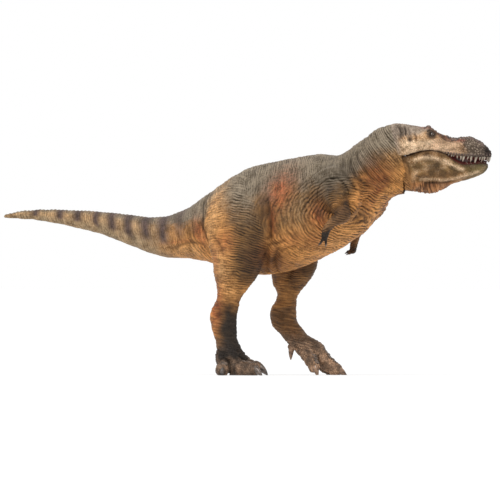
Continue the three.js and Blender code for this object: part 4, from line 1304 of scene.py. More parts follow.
def on_limb(p, name):
    """1 on the arm itself and 0 on the disc that turns in the shoulder."""
    radius, out = from_shoulder(p, name)
    below = shoulders[name][2] - p[:, 2]
    return np.maximum(step_up(radius, 8, 12) * step_up(out, 0.8, 2), step_up(below, 8, 11.6))


def arm_relief(p, name):
    _, out = from_shoulder(p, name)
    lift, hollow, ridge, mark = body_relief(p)
    limb = on_limb(p, name)
    height = lift * (1 - 0.5 * limb) * step_up(out, 0, 0.4)
    height += 0.08 * limb * np.clip(off_edge(p, ARM_SCALE) * 2, 0, 1)
    upper_dark, hand_dark, length = (0.66, 0.8, 18) if name == "right" else (0.3, 0.5, 26)
    reach = np.maximum(0, shoulders[name][2] - p[:, 2] - 8) / length
    dark = upper_dark + 0.25 * noise(p / 4) + hand_dark * step_up(reach, 0.7, 0.95)
    forearm = step_up(reach, 0.15, 0.4) * (1 - step_up(reach, 0.6, 0.9))
    coats = coats_on_body(p, mark)
    arm_coats = {"back": 0.15, "mid": 0.9, "flush": 0.15, "pale": 0.4 * forearm,
                 "dark": dark - 0.2 * hump(reach, 0.45, 0.2)}
    for coat, amount in arm_coats.items():
        coats[coat] = np.clip(coats[coat] * (1 - limb) + amount * limb, 0, 1)
    coats["ridge"] = ridge
    return height, hollow, coats


# %% [markdown]
# ## Face
# A flesh eater's face is a deep muzzle with lips that close over the gums. A knob stands over each eye, the
# eye sits in a socket, and a hollow lies before it. Most of these forms are soft swells and dents placed in
# the head's own frame, alike on both sides.

# %% Swells, ridges and creases of the head
# A swell is its place ahead, aside and up, its reach in the same ways, and how far it stands out.
skull_swells = [
    (18.6, 8.2, 17.8, 2.3, 3.4, 2.4, 1.3), (13.0, 11.5, 16.4, 3.6, 3.0, 1.8, 0.8),
    (24.6, 6.0, 16.6, 3.0, 8.0, 3.0, -1.3), (14.2, 5.5, 19.0, 2.4, 6.0, 2.6, -0.8),
    (15.2, 12.5, 12.8, 2.2, 3.5, 2.2, 0.6), (23.4, 11.5, 12.2, 1.7, 5.0, 1.7, -0.8),
    (29.5, 8.5, 8.6, 5.2, 5.0, 2.6, -0.9), (20.1, 13.0, 5.6, 1.5, 4.0, 1.0, -0.9),
    (7.1, 14.0, 10.0, 1.5, 5.0, 1.7, -1.3), (3.0, 14.0, 10.5, 2.5, 5.0, 3.0, -0.5),
    (26.0, 12.0, 4.2, 6.0, 5.0, 1.5, 0.4), (55.0, 4.5, 2.9, 1.7, 3.0, 1.1, -1.6),
    (44.0, 6.5, 8.5, 8.0, 3.0, 2.5, 0.5), (9.0, 6.0, 19.0, 9.0, 4.0, 2.5, -0.5),
]
jaw_swells = [
    (19.5, 13.0, -6.5, 6.5, 6.0, 3.8, 0.7), (16.0, 12.0, -15.5, 7.0, 6.0, 1.6, -0.5),
    (3.0, 12.0, -9.0, 2.2, 6.0, 6.0, -0.5), (38.0, 8.0, -11.0, 8.0, 5.0, 2.0, 0.3),
]
skull_ridges = [
    ([(22.5, 15.4), (23.6, 14.3), (28.5, 11.6), (36, 9.2), (44, 8.6)], 0.9, 0.75),
    ([(-6, 3.6), (0, 5.2), (7, 6.4), (13.6, 6.5), (20, 8.2)], 1.5, 0.8),
    ([(16.3, 13.9), (18.3, 15.4), (21.5, 15.2), (23.6, 13.6)], 0.7, 0.9),
]
# The crease under the brow, from 17 to 22.6 ahead, is painted dark: painted shade of the brow.
skull_creases = [
    ([(-4.6, 17), (-3.6, 13), (-5, 7)], 0.7, 0.6), ([(-3.1, 18), (-2, 13), (-3.5, 8)], 0.6, 0.7),
    ([(0.5, 18.5), (1.5, 14), (0.5, 9)], 0.6, 0.8), ([(2.2, 18), (3, 15), (2.3, 11)], 0.5, 0.5),
    ([(3.8, 18.8), (4.5, 15), (4.0, 12)], 0.6, 0.7), ([(9.5, 14.5), (11, 11.5), (10.6, 8.8)], 0.6, 0.5),
    ([(6, 16.5), (7.2, 14.2), (6.6, 12)], 0.5, 0.4), ([(23.8, 13.2), (28.8, 10.4), (36, 7.9)], 0.7, 0.5),
    ([(17, 14.4), (19.5, 15.3), (22.6, 14.0)], 0.7, 0.9), ([(13, 9.2), (17, 8.0), (20, 6.4)], 0.6, 0.3),
    ([(46, 6.5), (49.5, 4.6), (52, 5.2)], 0.6, 0.3), ([(25, 4.4), (31, 3.4), (37, 4.2)], 0.6, 0.25),
]
jaw_ridges = [
    ([(26, -1.8), (31, -4.6), (36, -7.4), (42, -9)], 1.1, 0.8),
    ([(12, -15.0), (15.5, -14.2), (28.5, -15.0), (44.6, -11.4), (52, -8.6)], 0.9, 0.6),
    ([(8, -3.2), (14, -1.4), (21, -1.2), (27, -3.6)], 1.2, 0.5),
]
jaw_creases = [
    ([(14, -16.8), (20, -16.9), (28, -16.8), (36, -15)], 0.7, 0.6),
    ([(4.5, -2), (6.4, -8), (6.8, -13.5)], 0.7, 0.5), ([(29, -6), (35, -9.4), (42, -11.2)], 0.6, 0.3),
    ([(15, -4.6), (19, -3.4), (23.5, -5)], 0.8, 0.25), ([(17, -10), (21, -10.6), (25, -8.6)], 0.8, 0.25),
    ([(2.5, -3), (4.2, -8), (4.4, -12)], 0.5, 0.4), ([(9, -12), (14, -13.6), (20, -13.2)], 0.6, 0.3),
]


def face_forms(p, swells, ridges, creases_placed):
    x, y, z = to_head(p)
    side = np.abs(y)
    height = np.zeros(len(p))
    mark = np.zeros(len(p))
    crest = np.zeros(len(p))
    for at_x, at_y, at_z, reach_x, reach_y, reach_z, lift in swells:
        gap = ((x - at_x) / reach_x) ** 2 + ((side - at_y) / reach_y) ** 2 + ((z - at_z) / reach_z) ** 2
        shape = np.exp(-gap)
        height += lift * shape
        mark = np.maximum(mark, shape * step_up(-lift, 0.6, 1.6))
    on_side = step_up(side, 2.5, 6)
    for line, width, lift in ridges:
        core, _ = fold_line(x, z, line, width, 0.15)
        height += lift * core * on_side
        crest = np.maximum(crest, core * on_side)
    for line, width, depth in creases_placed:
        core, lips = fold_line(x, z, line, width, 0.2)
        height += depth * (0.3 * lips - core) * on_side
        mark = np.maximum(mark, core * on_side * min(1, depth))
    return height, mark, crest


EYE_PLACE = (20.5, 12.9)
EYE_STRETCH = 1.3
LID_RING = (1.75, 0.6)


def eyelids(p):
    """How far the lids stand out, and a mask of painted shade round the eye, under the brow."""
    x, y, z = to_head(p)
    away = np.hypot((x - EYE_PLACE[0]) / EYE_STRETCH, z - EYE_PLACE[1])
    side = step_up(np.abs(y), 5, 8)
    lids = side * hump(away, *LID_RING)
    # The socket mask is painted dark: painted shade round the eye under the overhanging brow.
    socket = 0.95 * side * np.exp(-((away / 2.5) ** 4))
    return 0.7 * lids - 0.25 * side * np.exp(-((away / 1.2) ** 4)), socket


def pebbles(p, size, lift):
    """Height of the round scales, and 1 in the groove between them."""
    edge = off_edge(p, size)
    return lift * np.clip(edge * 2.3, 0, 1), np.exp(-edge / 0.08)


FINE_SCALES = (1.0, 0.16)
COARSE_SCALES = (1.6, 0.5)


def head_relief(p, name):
    x, _, z = to_head(p)
    upper = name == "skull"
    forms = (skull_swells, skull_ridges, skull_creases) if upper else (jaw_swells, jaw_ridges, jaw_creases)
    height, mark, crest = face_forms(p, *forms)
    if upper:
        lids, socket = eyelids(p)
        height += lids
        # The socket adds painted shade round the eye to the dark mask.
        mark = np.maximum(mark, socket)
    fine, fine_groove = pebbles(p, *FINE_SCALES)
    coarse, coarse_groove = pebbles(p, *COARSE_SCALES)
    front = 0.35 * step_up(x, 40, 54)
    if upper:
        front = step_up(x, 33, 43) * step_up(z + 0.35 * (x - 40), 1, 5)
    height += fine * (1 - front) + coarse * front + 0.2 * noise(p / 3.1)
    groove = 0.25 * fine_groove * (1 - front) + 0.9 * coarse_groove * front
    behind = step_up(-x, -9, 2)
    if upper:
        loose, crease, ridge = folded(p, x + 0.25 * z, *NAPE_CREASES)
        where = behind * step_up(z, 5, 10)
    else:
        loose, crease, ridge = folded(p, x + 0.1 * z, *THROAT_CREASES)
        where = np.maximum(behind * 0.9, step_up(-z, 14.5, 17) * step_up(-x, -34, -20))
    height += where * loose
    hollow = np.maximum(np.maximum(groove, 0.6 * where * crease), 0.8 * mark)
    seam = step_up(-behind_seam(x, z), -0.5, 7)
    body_height, body_hollow, body_ridge, body_mark = body_relief(p)
    height = height * seam + body_height * (1 - seam)
    if not upper:
        height = np.minimum(height, SLEEVE_RELIEF + 2 * step_up(-behind_seam(x, z), 3, 9))
    hollow = hollow * seam + body_hollow * (1 - seam)
    drift = noise(p / 5 + 7)
    coats = coats_on_body(p, body_mark)
    face = dict.fromkeys(COATS, np.zeros(len(p)))
    if upper:
        top = step_up(z + 1.5 * drift - 0.15 * x, 8.5, 13.5) * step_up(-x, -30, -17)
        snout = step_up(x + 2 * drift + 0.5 * z, 38, 46)
        cheeks = step_up(-z, -12, -8.5) * step_up(-x, -26, -20)
        muzzle = step_up(x, 17, 23) * step_up(-x - drift, -44, -36) * step_up(-z, -13, -9)
        brow = hump(x, 19.5, 5) * step_up(z, 15, 17)
        face["back"] = np.maximum(top, snout)
        face["mid"] = np.full(len(p), 0.3)
        pale = np.maximum(np.maximum(0.95 * cheeks, 0.85 * muzzle), 0.4)
        face["pale"] = pale * (1 - 0.9 * top) * (1 + 0.25 * drift) * (1 - 0.9 * snout)
        nose_ridge = crest * step_up(x, 20, 23) * step_up(-x, -46, -40)
        face["flush"] = 0.75 * brow + 0.2 * muzzle + 0.75 * nose_ridge
        brow_line = 0.7 * crest * step_up(x, 21, 24) * step_up(-x, -38, -32)
        # The dark mask of dents and creases holds painted shade round the eye and under the brow.
        face["dark"] = np.maximum(np.maximum(mark, brow_line), 0.75 * step_up(x, 49, 56)) + 0.3 * snout
    else:
        pouch = step_up(-z, 15.5, 17.5)
        face["mid"] = (0.85 - 0.4 * drift) * (1 - 0.6 * pouch)
        face["yellow"] = 0.6 * step_up(x, 36, 50) + 0.3 * hump(z, -6, 5)
        face["pale"] = crest * (0.35 + 0.4 * step_up(z, -13, -10)) + 0.4 * np.clip(drift, 0, 1)
        face["flush"] = 0.28 * pouch + 0.2 * behind
        cheek = 0.45 * hump(x, 22, 6) * hump(z, -7, 4) + 0.25 * np.clip(-drift, 0, 1)
        face["dark"] = np.maximum(0.85 * mark, cheek)
    for coat, amount in face.items():
        coats[coat] = np.clip(amount, 0, 1) * seam + coats[coat] * (1 - seam)
    lip_edge = head_section(skull, x)[1] if upper else head_section(lower_jaw, x)[0]
    lip_width = 0.6 + 0.9 * step_up(x, 28, 40)
    at_lip = np.exp(-np.abs(z - lip_edge) / lip_width) * seam * step_up(x, -3, 1)
    coats["dark"] = np.maximum(coats["dark"], 0.85 * at_lip)
    scaly = (0.2 + 0.5 * fine / FINE_SCALES[1]) * (1 - front) + (2.8 * coarse - 0.45) * front
    ridge = where * ridge + (1 - where) * np.clip(scaly, 0, 1)
    coats["ridge"] = ridge * seam + body_ridge * (1 - seam)
    return height, hollow, coats


# %% Choose the relief of a casting
FOLD_MASKS = ("spine_way", "flank_way", "leg_way", "flank", "leg")


def how_lined(name, p):
    """How strongly the finest wrinkles show: 1 on the front of the thigh, next to nothing on the face."""
    place, on_leg = spine_place(p), leg_share(p)
    elbow = np.hypot(p[:, 0] - ELBOW_RINGS[0], p[:, 2] - ELBOW_RINGS[1])
    trunk = 0.3 + 0.2 * step_up(place, 0.42, 0.56) + 0.5 * step_up(-elbow, -36, -14)
    trunk += 0.3 * step_up(spine_level(p), 0.3, 0.6) * step_up(place, 0.74, 0.86)
    front = 0.25 + 0.75 * step_up(p[:, 0] - leg_axis(p), -8, 5)
    leg = (0.25 + 0.85 * step_up(p[:, 2], 48, 66)) * front * step_up(p[:, 2], 8, 14)
    lined = trunk * (1 - on_leg) + leg * on_leg
    if name.endswith("arm"):
        lined = np.full(len(p), 0.9)
    if name in ("skull", "jaw"):
        x, _, z = to_head(p)
        lined = lined * (0.25 + 0.75 * step_up(behind_seam(x, z), -5, 2))
    return np.minimum(lined, 1)


def relief_of(name, p):
    """How far the skin of a casting stands out, and all the masks that its paint reads."""
    if name == "tongue":
        return 0.15 * noise(p / 1.2), {}
    if name.endswith("foot"):
        height, hollow, coats = foot_relief(p, name.split("_")[0])
    elif name.endswith("arm"):
        height, hollow, coats = arm_relief(p, name.split("_")[0])
    elif name in ("skull", "jaw"):
        height, hollow, coats = head_relief(p, name)
    else:
        height, hollow, ridge, mark = body_relief(p)
        coats = coats_on_body(p, mark)
        coats["ridge"] = ridge
    coats["hollow"] = np.clip(hollow, 0, 1)
    coats.update(zip(FOLD_MASKS, fold_ways(p)))
    if name.endswith("arm"):
        limb = on_limb(p, name.split("_")[0])
        rings = p[:, 2] + 0.03 * (p[:, 0] - ELBOW_RINGS[0] + 4) ** 2
        coats["flank_way"] = coats["flank_way"] * (1 - limb) + rings * limb
        coats["flank"] = np.ones(len(p))
    coats["lined"] = how_lined(name, p)
    return height, coats


# %% [markdown]
# ## Paint
# One shader group serves every painted surface. It reads the masks of the mesh, lays the coats one over
# the other from the widest to the narrowest, lets a dark wash settle in the creases, and adds the scales
# that are too small for the mesh. Each material gives the group its own colours.

# %% Helpers for shader nodes
def paint(red, green, blue):
    """A colour as it looks on a screen, 0 to 255, as the linear value that Blender mixes."""
    shares = np.array([red, green, blue]) / 255
    linear = np.where(shares <= 0.04045, shares / 12.92, ((shares + 0.055) / 1.055) ** 2.4)
    return (*linear, 1.0)


def nodes_of(owner):
    owner.use_nodes = True
    tree = owner.node_tree
    tree.nodes.clear()
    return tree


def new_material(name):
    material = bpy.data.materials.new(name)
    return material, nodes_of(material)


def give_sockets(tree, way, kind, *names):
    for name in names:
        tree.interface.new_socket(name, in_out=way, socket_type="NodeSocket" + kind)


def add(tree, kind, settings=None, **values):
    """A new node. A value is a number or another node's output; i0, i1 and so on count the sockets."""
    made = tree.nodes.new(kind)
    for name, value in (settings or {}).items():
        setattr(made, name, value)
    for name, value in values.items():
        socket = made.inputs[int(name[1:]) if name[1:].isdigit() else name.replace("_", " ")]
        if isinstance(value, bpy.types.NodeSocket):
            tree.links.new(value, socket)
        else:
            socket.default_value = value
    return made


def blend_colours(tree, share, first, second, kind="MIX"):
    settings = {"data_type": "RGBA", "blend_type": kind}
    return add(tree, "ShaderNodeMix", settings, i0=share, i6=first, i7=second).outputs[2]


def sums(tree, operation, first, second, third=0.0, clamp=False):
    settings = {"operation": operation, "use_clamp": clamp}
    return add(tree, "ShaderNodeMath", settings, i0=first, i1=second, i2=third).outputs[0]


def spread(tree, value, low, high, start=0.0, end=1.0):
    """The value moved from the range low to high into the range start to end."""
    made = add(tree, "ShaderNodeMapRange", None,
               Value=value, From_Min=low, From_Max=high, To_Min=start, To_Max=end)
    return made.outputs[0]


def off_middle(tree, value):
    return sums(tree, "SUBTRACT", value, 0.5)


def noise_fac(tree, vector, **values):
    return add(tree, "ShaderNodeTexNoise", None, Vector=vector, **values).outputs["Fac"]


def between(tree, share, first, second):
    return add(tree, "ShaderNodeMix", {"data_type": "FLOAT"}, i0=share, i2=first, i3=second).outputs[0]


def mask(tree, name):
    return add(tree, "ShaderNodeAttribute", {"attribute_name": name}).outputs["Fac"]


def finish_with(tree, colour, roughness, plain=None, **more):
    """The shader that light meets. `plain` holds what is the same all over the surface."""
    surface = add(tree, "ShaderNodeBsdfPrincipled", None, Base_Color=colour, Roughness=roughness, **more)
    for socket, value in (plain or {}).items():
        surface.inputs[socket].default_value = value
    add(tree, "ShaderNodeOutputMaterial", None, Surface=surface.outputs[0])


# %% The group for painted skin
FOLD_SPACING = 1.6
WANDER = 3.0
WANDER_SCALE = 110.0
RAGGED_EDGE = 1.6
LIGHT_BRUSH = (1.56, 1.53, 1.47, 1)
DARK_BRUSH = (0.46, 0.41, 0.33, 1)
MOUTH_PINK = paint(92, 38, 32)


def painted_skin_group():
    group = bpy.data.node_groups.new("Painted skin", "ShaderNodeTree")
    give_sockets(group, "INPUT", "Color", "Base", *[coat.title() for coat in COATS], "Wash")
    give_sockets(group, "INPUT", "Float",
                 "Wash Strength", "Mottle", "Dry Brush", "Scale Lines", "Fold Lines")
    give_sockets(group, "OUTPUT", "Color", "Colour")
    give_sockets(group, "OUTPUT", "Float", "Roughness", "Height")
    given = group.nodes.new("NodeGroupInput").outputs
    place = add(group, "ShaderNodeTexCoord").outputs["Object"]
    drift = spread(group, noise_fac(group, place, Scale=170.0, Detail=5.0, Roughness=0.62), 0.3, 0.7)
    grain = spread(group, noise_fac(group, place, Scale=900.0, Detail=3.0, Roughness=0.6), 0.3, 0.7)
    cells = add(group, "ShaderNodeTexVoronoi", {"feature": "DISTANCE_TO_EDGE"}, Vector=place, Scale=1250.0)
    groove = spread(group, cells.outputs["Distance"], 0.0, 0.12, 1.0, 0.0)
    bend = noise_fac(group, place, Scale=WANDER_SCALE, Detail=3.0, Roughness=0.4)
    wander = sums(group, "MULTIPLY", off_middle(group, bend), WANDER)
    waves = []
    for name in FOLD_MASKS[:3]:
        phase = sums(group, "MULTIPLY_ADD", mask(group, name), 1 / FOLD_SPACING, wander)
        waves.append(sums(group, "PINGPONG", phase, 0.5))
    wave = between(group, mask(group, "flank"), waves[0], waves[1])
    wave = between(group, mask(group, "leg"), wave, waves[2])
    gaps = spread(group, noise_fac(group, place, Scale=210.0, Detail=2.0), 0.36, 0.6, 0.15, 1.2)
    lined = sums(group, "MULTIPLY", mask(group, "lined"), gaps)
    crease = sums(group, "MULTIPLY", spread(group, wave, 0.02, 0.24, 1.0, 0.0), lined)
    crest = sums(group, "MULTIPLY", spread(group, wave, 0.2, 0.46), lined)
    colour = given["Base"]
    for coat in COATS:
        amount = mask(group, coat)
        spare = sums(group, "MULTIPLY", amount, sums(group, "SUBTRACT", 1.0, amount))
        ragged = sums(group, "MULTIPLY", spare, off_middle(group, grain))
        share = sums(group, "MULTIPLY_ADD", ragged, RAGGED_EDGE, amount, True)
        colour = blend_colours(group, share, colour, given[coat.title()])
    lighter = blend_colours(group, 1.0, colour, LIGHT_BRUSH, "MULTIPLY")
    darker = blend_colours(group, 1.0, colour, DARK_BRUSH, "MULTIPLY")
    brushed = sums(group, "MULTIPLY_ADD", crest, given["Fold Lines"], sums(group, "MULTIPLY", lined, -0.15))
    ridge = sums(group, "SUBTRACT", mask(group, "ridge"), 0.45)
    brushed = sums(group, "ADD", brushed, sums(group, "MULTIPLY_ADD", ridge, given["Dry Brush"], 0.5))
    mottle = sums(group, "ADD", off_middle(group, drift), off_middle(group, grain))
    worn = sums(group, "MULTIPLY_ADD", mottle, given["Mottle"], brushed, True)
    colour = blend_colours(group, worn, darker, lighter)
    settled = sums(group, "MULTIPLY", mask(group, "hollow"), given["Wash Strength"])
    settled = sums(group, "MULTIPLY_ADD", crease, given["Fold Lines"], settled, True)
    scale_lines = sums(group, "MULTIPLY", given["Scale Lines"], grain)
    settled = sums(group, "MULTIPLY_ADD", groove, scale_lines, settled, True)
    colour = blend_colours(group, settled, colour, given["Wash"])
    colour = blend_colours(group, mask(group, "inside"), colour, MOUTH_PINK)
    rough = spread(group, settled, 0.0, 1.0, 0.52, 0.7)
    rough = sums(group, "MULTIPLY_ADD", off_middle(group, drift), 0.16, rough, True)
    height = sums(group, "MULTIPLY_ADD", grain, 0.5, sums(group, "MULTIPLY", groove, -0.7))
    height = sums(group, "MULTIPLY_ADD", crease, -1.3, height)
    ends = group.nodes.new("NodeGroupOutput").inputs
    for name, value in (("Colour", colour), ("Roughness", rough), ("Height", height)):
        group.links.new(value, ends[name])
    return group


painted_skin = painted_skin_group()


SKIN_BUMP = 0.00025
SKIN_SPECULAR = 0.3


def skin_material(name, colours, **strengths):
    material, tree = new_material(name)
    coats = add(tree, "ShaderNodeGroup", {"node_tree": painted_skin})
    for coat, colour in colours.items():
        coats.inputs[coat.title()].default_value = paint(*colour)
    for setting, value in strengths.items():
        coats.inputs[setting.replace("_", " ")].default_value = value
    bump = add(tree, "ShaderNodeBump", None,
               Strength=0.8, Distance=SKIN_BUMP, Height=coats.outputs["Height"])
    finish_with(tree, coats.outputs["Colour"], coats.outputs["Roughness"],
                {"Specular IOR Level": SKIN_SPECULAR}, Normal=bump.outputs["Normal"])
    return material


# %% The painted skins
hide = skin_material("hide", {
    "base": (216, 154, 88), "mid": (134, 98, 55), "yellow": (176, 155, 125), "back": (136, 124, 107),
    "pale": (220, 170, 115), "flush": (176, 92, 50), "band": (96, 78, 74), "dark": (44, 34, 24),
    "wash": (38, 25, 14),
}, Wash_Strength=0.66, Mottle=0.85, Dry_Brush=0.4, Scale_Lines=0.3, Fold_Lines=0.62)
face_hide = skin_material("face hide", {
    "base": (212, 154, 94), "mid": (124, 91, 54), "yellow": (116, 106, 62), "back": (158, 142, 128),
    "pale": (255, 222, 186), "flush": (156, 86, 72), "band": (98, 78, 70), "dark": (40, 26, 20),
    "wash": (40, 27, 18),
}, Wash_Strength=0.8, Mottle=0.8, Dry_Brush=0.8, Scale_Lines=0.55, Fold_Lines=0.42)
limb_hide = skin_material("limb hide", {
    "base": (176, 128, 80), "mid": (142, 108, 70), "yellow": (170, 142, 98), "back": (130, 108, 92),
    "pale": (200, 162, 132), "flush": (156, 98, 66), "band": (98, 78, 70), "dark": (46, 37, 30),
    "wash": (28, 21, 16),
}, Wash_Strength=0.75, Mottle=0.6, Dry_Brush=0.6, Scale_Lines=0.35, Fold_Lines=0.42)
hides = {"skull": face_hide, "jaw": face_hide, "right_foot": limb_hide, "left_foot": limb_hide}


# %% [markdown]
# ## The figure's pieces
# Every casting is made in the same way. First comes the smooth form; the relief is then pressed in along
# the slope of the field, and fades out where the casting slips under its neighbour.

# %% Make the castings
def relief_everywhere(name, points):
    done = list(workers.map(partial(relief_of, name), parcels_of(points)))
    height = np.concatenate([lift for lift, _ in done])
    return height, {coat: np.concatenate([coats[coat] for _, coats in done]) for coat in done[0][1]}


def piece_from(name, mesh):
    piece = bpy.data.objects.new(name, mesh)
    bpy.context.scene.collection.objects.link(piece)
    return piece


MARGIN = 7.0
CELL = 0.9
cell_sizes = {
    "tail": 0.72, "torso_right_half": 1.06, "torso_left_half": 1.06, "neck": 0.68, "skull": 0.62,
    "jaw": 0.62, "right_arm": 0.5, "left_arm": 0.5, "tongue": 0.5,
}
SKIN_MIDDLE = 0.08
SKIN_EDGE = (-0.5, -0.2)
MOUTH_EDGE = (0.5, 0.9)
mouth_sides = {"skull": skull_outside, "jaw": jaw_outside}


def cast(name, field, skin):
    """A casting whose form is `field`, with relief wherever its surface is the outer `skin`."""
    low, high = corners(name)
    points, quads = skin_of(field, low - MARGIN, high + MARGIN, cell_sizes.get(name, CELL))
    mesh = finer(name, mesh_from(name, landed(field, points, 1), quads))
    points = landed(field, points_of(mesh))
    outer = in_parcels(skin, points)
    slope = slope_of(skin, points, outer)
    slope /= np.maximum(np.linalg.norm(slope, axis=1), 0.2)[:, None]
    height, masks = relief_everywhere(name, points)
    if name in mouth_sides:
        masks["inside"] = step_up(-mouth_sides[name](points)[0], *MOUTH_EDGE)
    on_skin = step_up(-np.abs(outer - SKIN_MIDDLE), *SKIN_EDGE)
    points = points + slope * (height * on_skin)[:, None]
    if name.endswith("foot"):
        points[:, 2] = np.maximum(points[:, 2], 0)
    set_points(mesh, points)
    for coat, values in masks.items():
        set_mask(mesh, coat, values)
    mesh.update()
    print(name, "has", len(mesh.polygons), "faces")
    return piece_from(name, mesh)


castings = {node: cast(node, partial(casting_field, name=node), whole_field) for node in land_of}

# %% Make the head and the arms
castings["skull"] = cast("skull", upper_head_field, skull_field)
castings["jaw"] = cast("jaw", lower_head_field, jaw_field)
for side in SIDES:
    one_arm = partial(arm_field, name=side)
    castings[side + "_arm"] = cast(side + "_arm", one_arm, one_arm)

for node, piece in castings.items():
    body = {"jaw": "jaw", "right_arm": "right_arm", "left_arm": "left_arm"}.get(node, "body")
    piece.data.materials.append(hides.get(node, hide))
    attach(piece, body)
    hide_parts(node)

# %% [markdown]
# ## Teeth, claws and knobs
# Teeth, claws, toe scutes and the knobs on the muzzle are one idea: a round stem that narrows to a tip and
# may bend. Geometry Nodes grow one on each point of a small cloud. Every point carries two vectors, its
# turn and its size, so that no two teeth are alike.

# %% A node tree that grows a stem on each point
def sprout_tree():
    tree = bpy.data.node_groups.new("Grow stems", "GeometryNodeTree")
    give_sockets(tree, "INPUT", "Geometry", "Points")
    give_sockets(tree, "INPUT", "Int", "Sides", "Rings")
    give_sockets(tree, "INPUT", "Float", "Fullness", "Taper", "Bend")
    give_sockets(tree, "INPUT", "Material", "Finish")
    give_sockets(tree, "OUTPUT", "Geometry", "Stems")
    given = tree.nodes.new("NodeGroupInput").outputs
    tube = add(tree, "GeometryNodeMeshCylinder", {"fill_type": "TRIANGLE_FAN"}, Vertices=given["Sides"],
               Side_Segments=given["Rings"], Radius=1.0, Depth=1.0)
    position = add(tree, "GeometryNodeInputPosition").outputs[0]
    place = add(tree, "ShaderNodeSeparateXYZ", None, Vector=position)
    height = sums(tree, "ADD", place.outputs["Z"], 0.5, 0.0, True)
    fall = sums(tree, "SUBTRACT", 1.0, sums(tree, "POWER", height, given["Fullness"]), 0.0, True)
    radius = sums(tree, "POWER", fall, given["Taper"])
    lean = sums(tree, "MULTIPLY", given["Bend"], sums(tree, "MULTIPLY", height, height))
    new_x = sums(tree, "MULTIPLY_ADD", place.outputs["X"], radius, lean)
    new_y = sums(tree, "MULTIPLY", place.outputs["Y"], radius)
    moved = add(tree, "ShaderNodeCombineXYZ", None, X=new_x, Y=new_y, Z=height)
    shaped = add(tree, "GeometryNodeSetPosition", None,
                 Geometry=tube.outputs["Mesh"], Position=moved.outputs[0])
    closed = add(tree, "GeometryNodeMergeByDistance", None, Geometry=shaped.outputs[0], Distance=0.002)
    smooth = add(tree, "GeometryNodeSetShadeSmooth", None, Geometry=closed.outputs[0])
    turn, size = [add(tree, "GeometryNodeInputNamedAttribute", {"data_type": "FLOAT_VECTOR"}, Name=name)
                  for name in ("turn", "size")]
    rotation = add(tree, "FunctionNodeEulerToRotation", None, Euler=turn.outputs["Attribute"])
    grown = add(tree, "GeometryNodeInstanceOnPoints", None,
                Points=given["Points"], Instance=smooth.outputs[0],
                Rotation=rotation.outputs[0], Scale=size.outputs["Attribute"])
    real = add(tree, "GeometryNodeRealizeInstances", None, Geometry=grown.outputs[0])
    finished = add(tree, "GeometryNodeSetMaterial", None,
                   Geometry=real.outputs[0], Material=given["Finish"])
    ends = tree.nodes.new("NodeGroupOutput").inputs
    tree.links.new(finished.outputs[0], ends["Stems"])
    return tree


stems = sprout_tree()


def unit(way):
    way = np.asarray(way, float)
    return way / np.linalg.norm(way)


def grow(name, rows, finish, sides=10, rings=5, fullness=1.6, taper=0.85, bend=0.5):
    """Stems as one mesh. A row holds the root, the way to the tip, the way it bends, and the size."""
    cloud = bpy.data.meshes.new(name + "_cloud")
    cloud.from_pydata([tuple(np.asarray(row[0]) * MM) for row in rows], [], [])
    turns, sizes = [], []
    for _, tip, towards, size in rows:
        tip = unit(tip)
        side = unit(np.cross(tip, towards))
        basis = Matrix(np.column_stack([np.cross(side, tip), side, tip]).tolist())
        turns.extend(basis.to_euler())
        sizes.extend(np.asarray(size) * MM)
    for attribute, values in (("turn", turns), ("size", sizes)):
        cloud.attributes.new(attribute, "FLOAT_VECTOR", "POINT").data.foreach_set("vector", values)
    holder = piece_from(name + "_holder", cloud)
    growth = holder.modifiers.new("grow", "NODES")
    growth.node_group = stems
    values = {"Sides": sides, "Rings": rings, "Fullness": fullness, "Taper": taper, "Bend": bend,
              "Finish": finish}
    for item in stems.interface.items_tree:
        if item.name in values:
            growth[item.identifier] = values[item.name]
    depsgraph = bpy.context.evaluated_depsgraph_get()
    mesh = bpy.data.meshes.new_from_object(holder.evaluated_get(depsgraph), depsgraph=depsgraph)
    bpy.data.objects.remove(holder)
    points = points_of(mesh)
    points[:, 2] = np.maximum(points[:, 2], 0)
    set_points(mesh, points)
    for attribute in ("turn", "size"):
        if attribute in mesh.attributes:
            mesh.attributes.remove(mesh.attributes[attribute])
    mesh.name = name
    print(name, "has", len(rows), "stems and", len(mesh.polygons), "faces")
    return piece_from(name, mesh)


# %% [markdown]
# ## Hard and glossy finishes
# Ivory, horn, wet flesh and the eye are moulded in the same vinyl but left glossier. Each still has its own
# variation: teeth and claws are streaked along their length.

# %% Ivory, claw, flesh and eye
DARK_ROUGHER = 0.12
STREAK_BUMP = 0.00012


def streaked_material(name, light, dark, scale, stretch, roughness, coat=0.0):
    material, tree = new_material(name)
    place = add(tree, "ShaderNodeTexCoord").outputs["Object"]
    turned = add(tree, "ShaderNodeMapping", None, Vector=place, Scale=stretch).outputs[0]
    share = spread(tree, noise_fac(tree, turned, Scale=scale, Detail=4.0, Roughness=0.6), 0.36, 0.64)
    colour = blend_colours(tree, share, paint(*dark), paint(*light))
    rough = spread(tree, share, 0.0, 1.0, roughness + DARK_ROUGHER, roughness)
    bump = add(tree, "ShaderNodeBump", None, Strength=0.4, Distance=STREAK_BUMP, Height=share)
    finish_with(tree, colour, rough, {"Coat Weight": coat}, Normal=bump.outputs[0])
    return material


ivory = streaked_material("ivory", (200, 186, 166), (104, 82, 64), 420.0, (1, 1, 0.5), 0.3, 0.2)
claw_horn = streaked_material("claw horn", (116, 100, 88), (40, 34, 31), 500.0, (0.4, 1, 1), 0.34, 0.15)
brown_horn = streaked_material("brown horn", (168, 134, 106), (84, 60, 44), 500.0, (0.4, 1, 1), 0.36, 0.15)
scute_hide = streaked_material("scute hide", (134, 116, 102), (72, 60, 51), 300.0, (1, 1, 1), 0.5)
muzzle_knobs = streaked_material("muzzle knobs", (116, 95, 83), (56, 43, 36), 300.0, (1, 1, 1), 0.48)
wet_flesh = streaked_material("wet flesh", (118, 56, 46), (56, 24, 22), 260.0, (0.5, 1, 1), 0.3, 0.3)


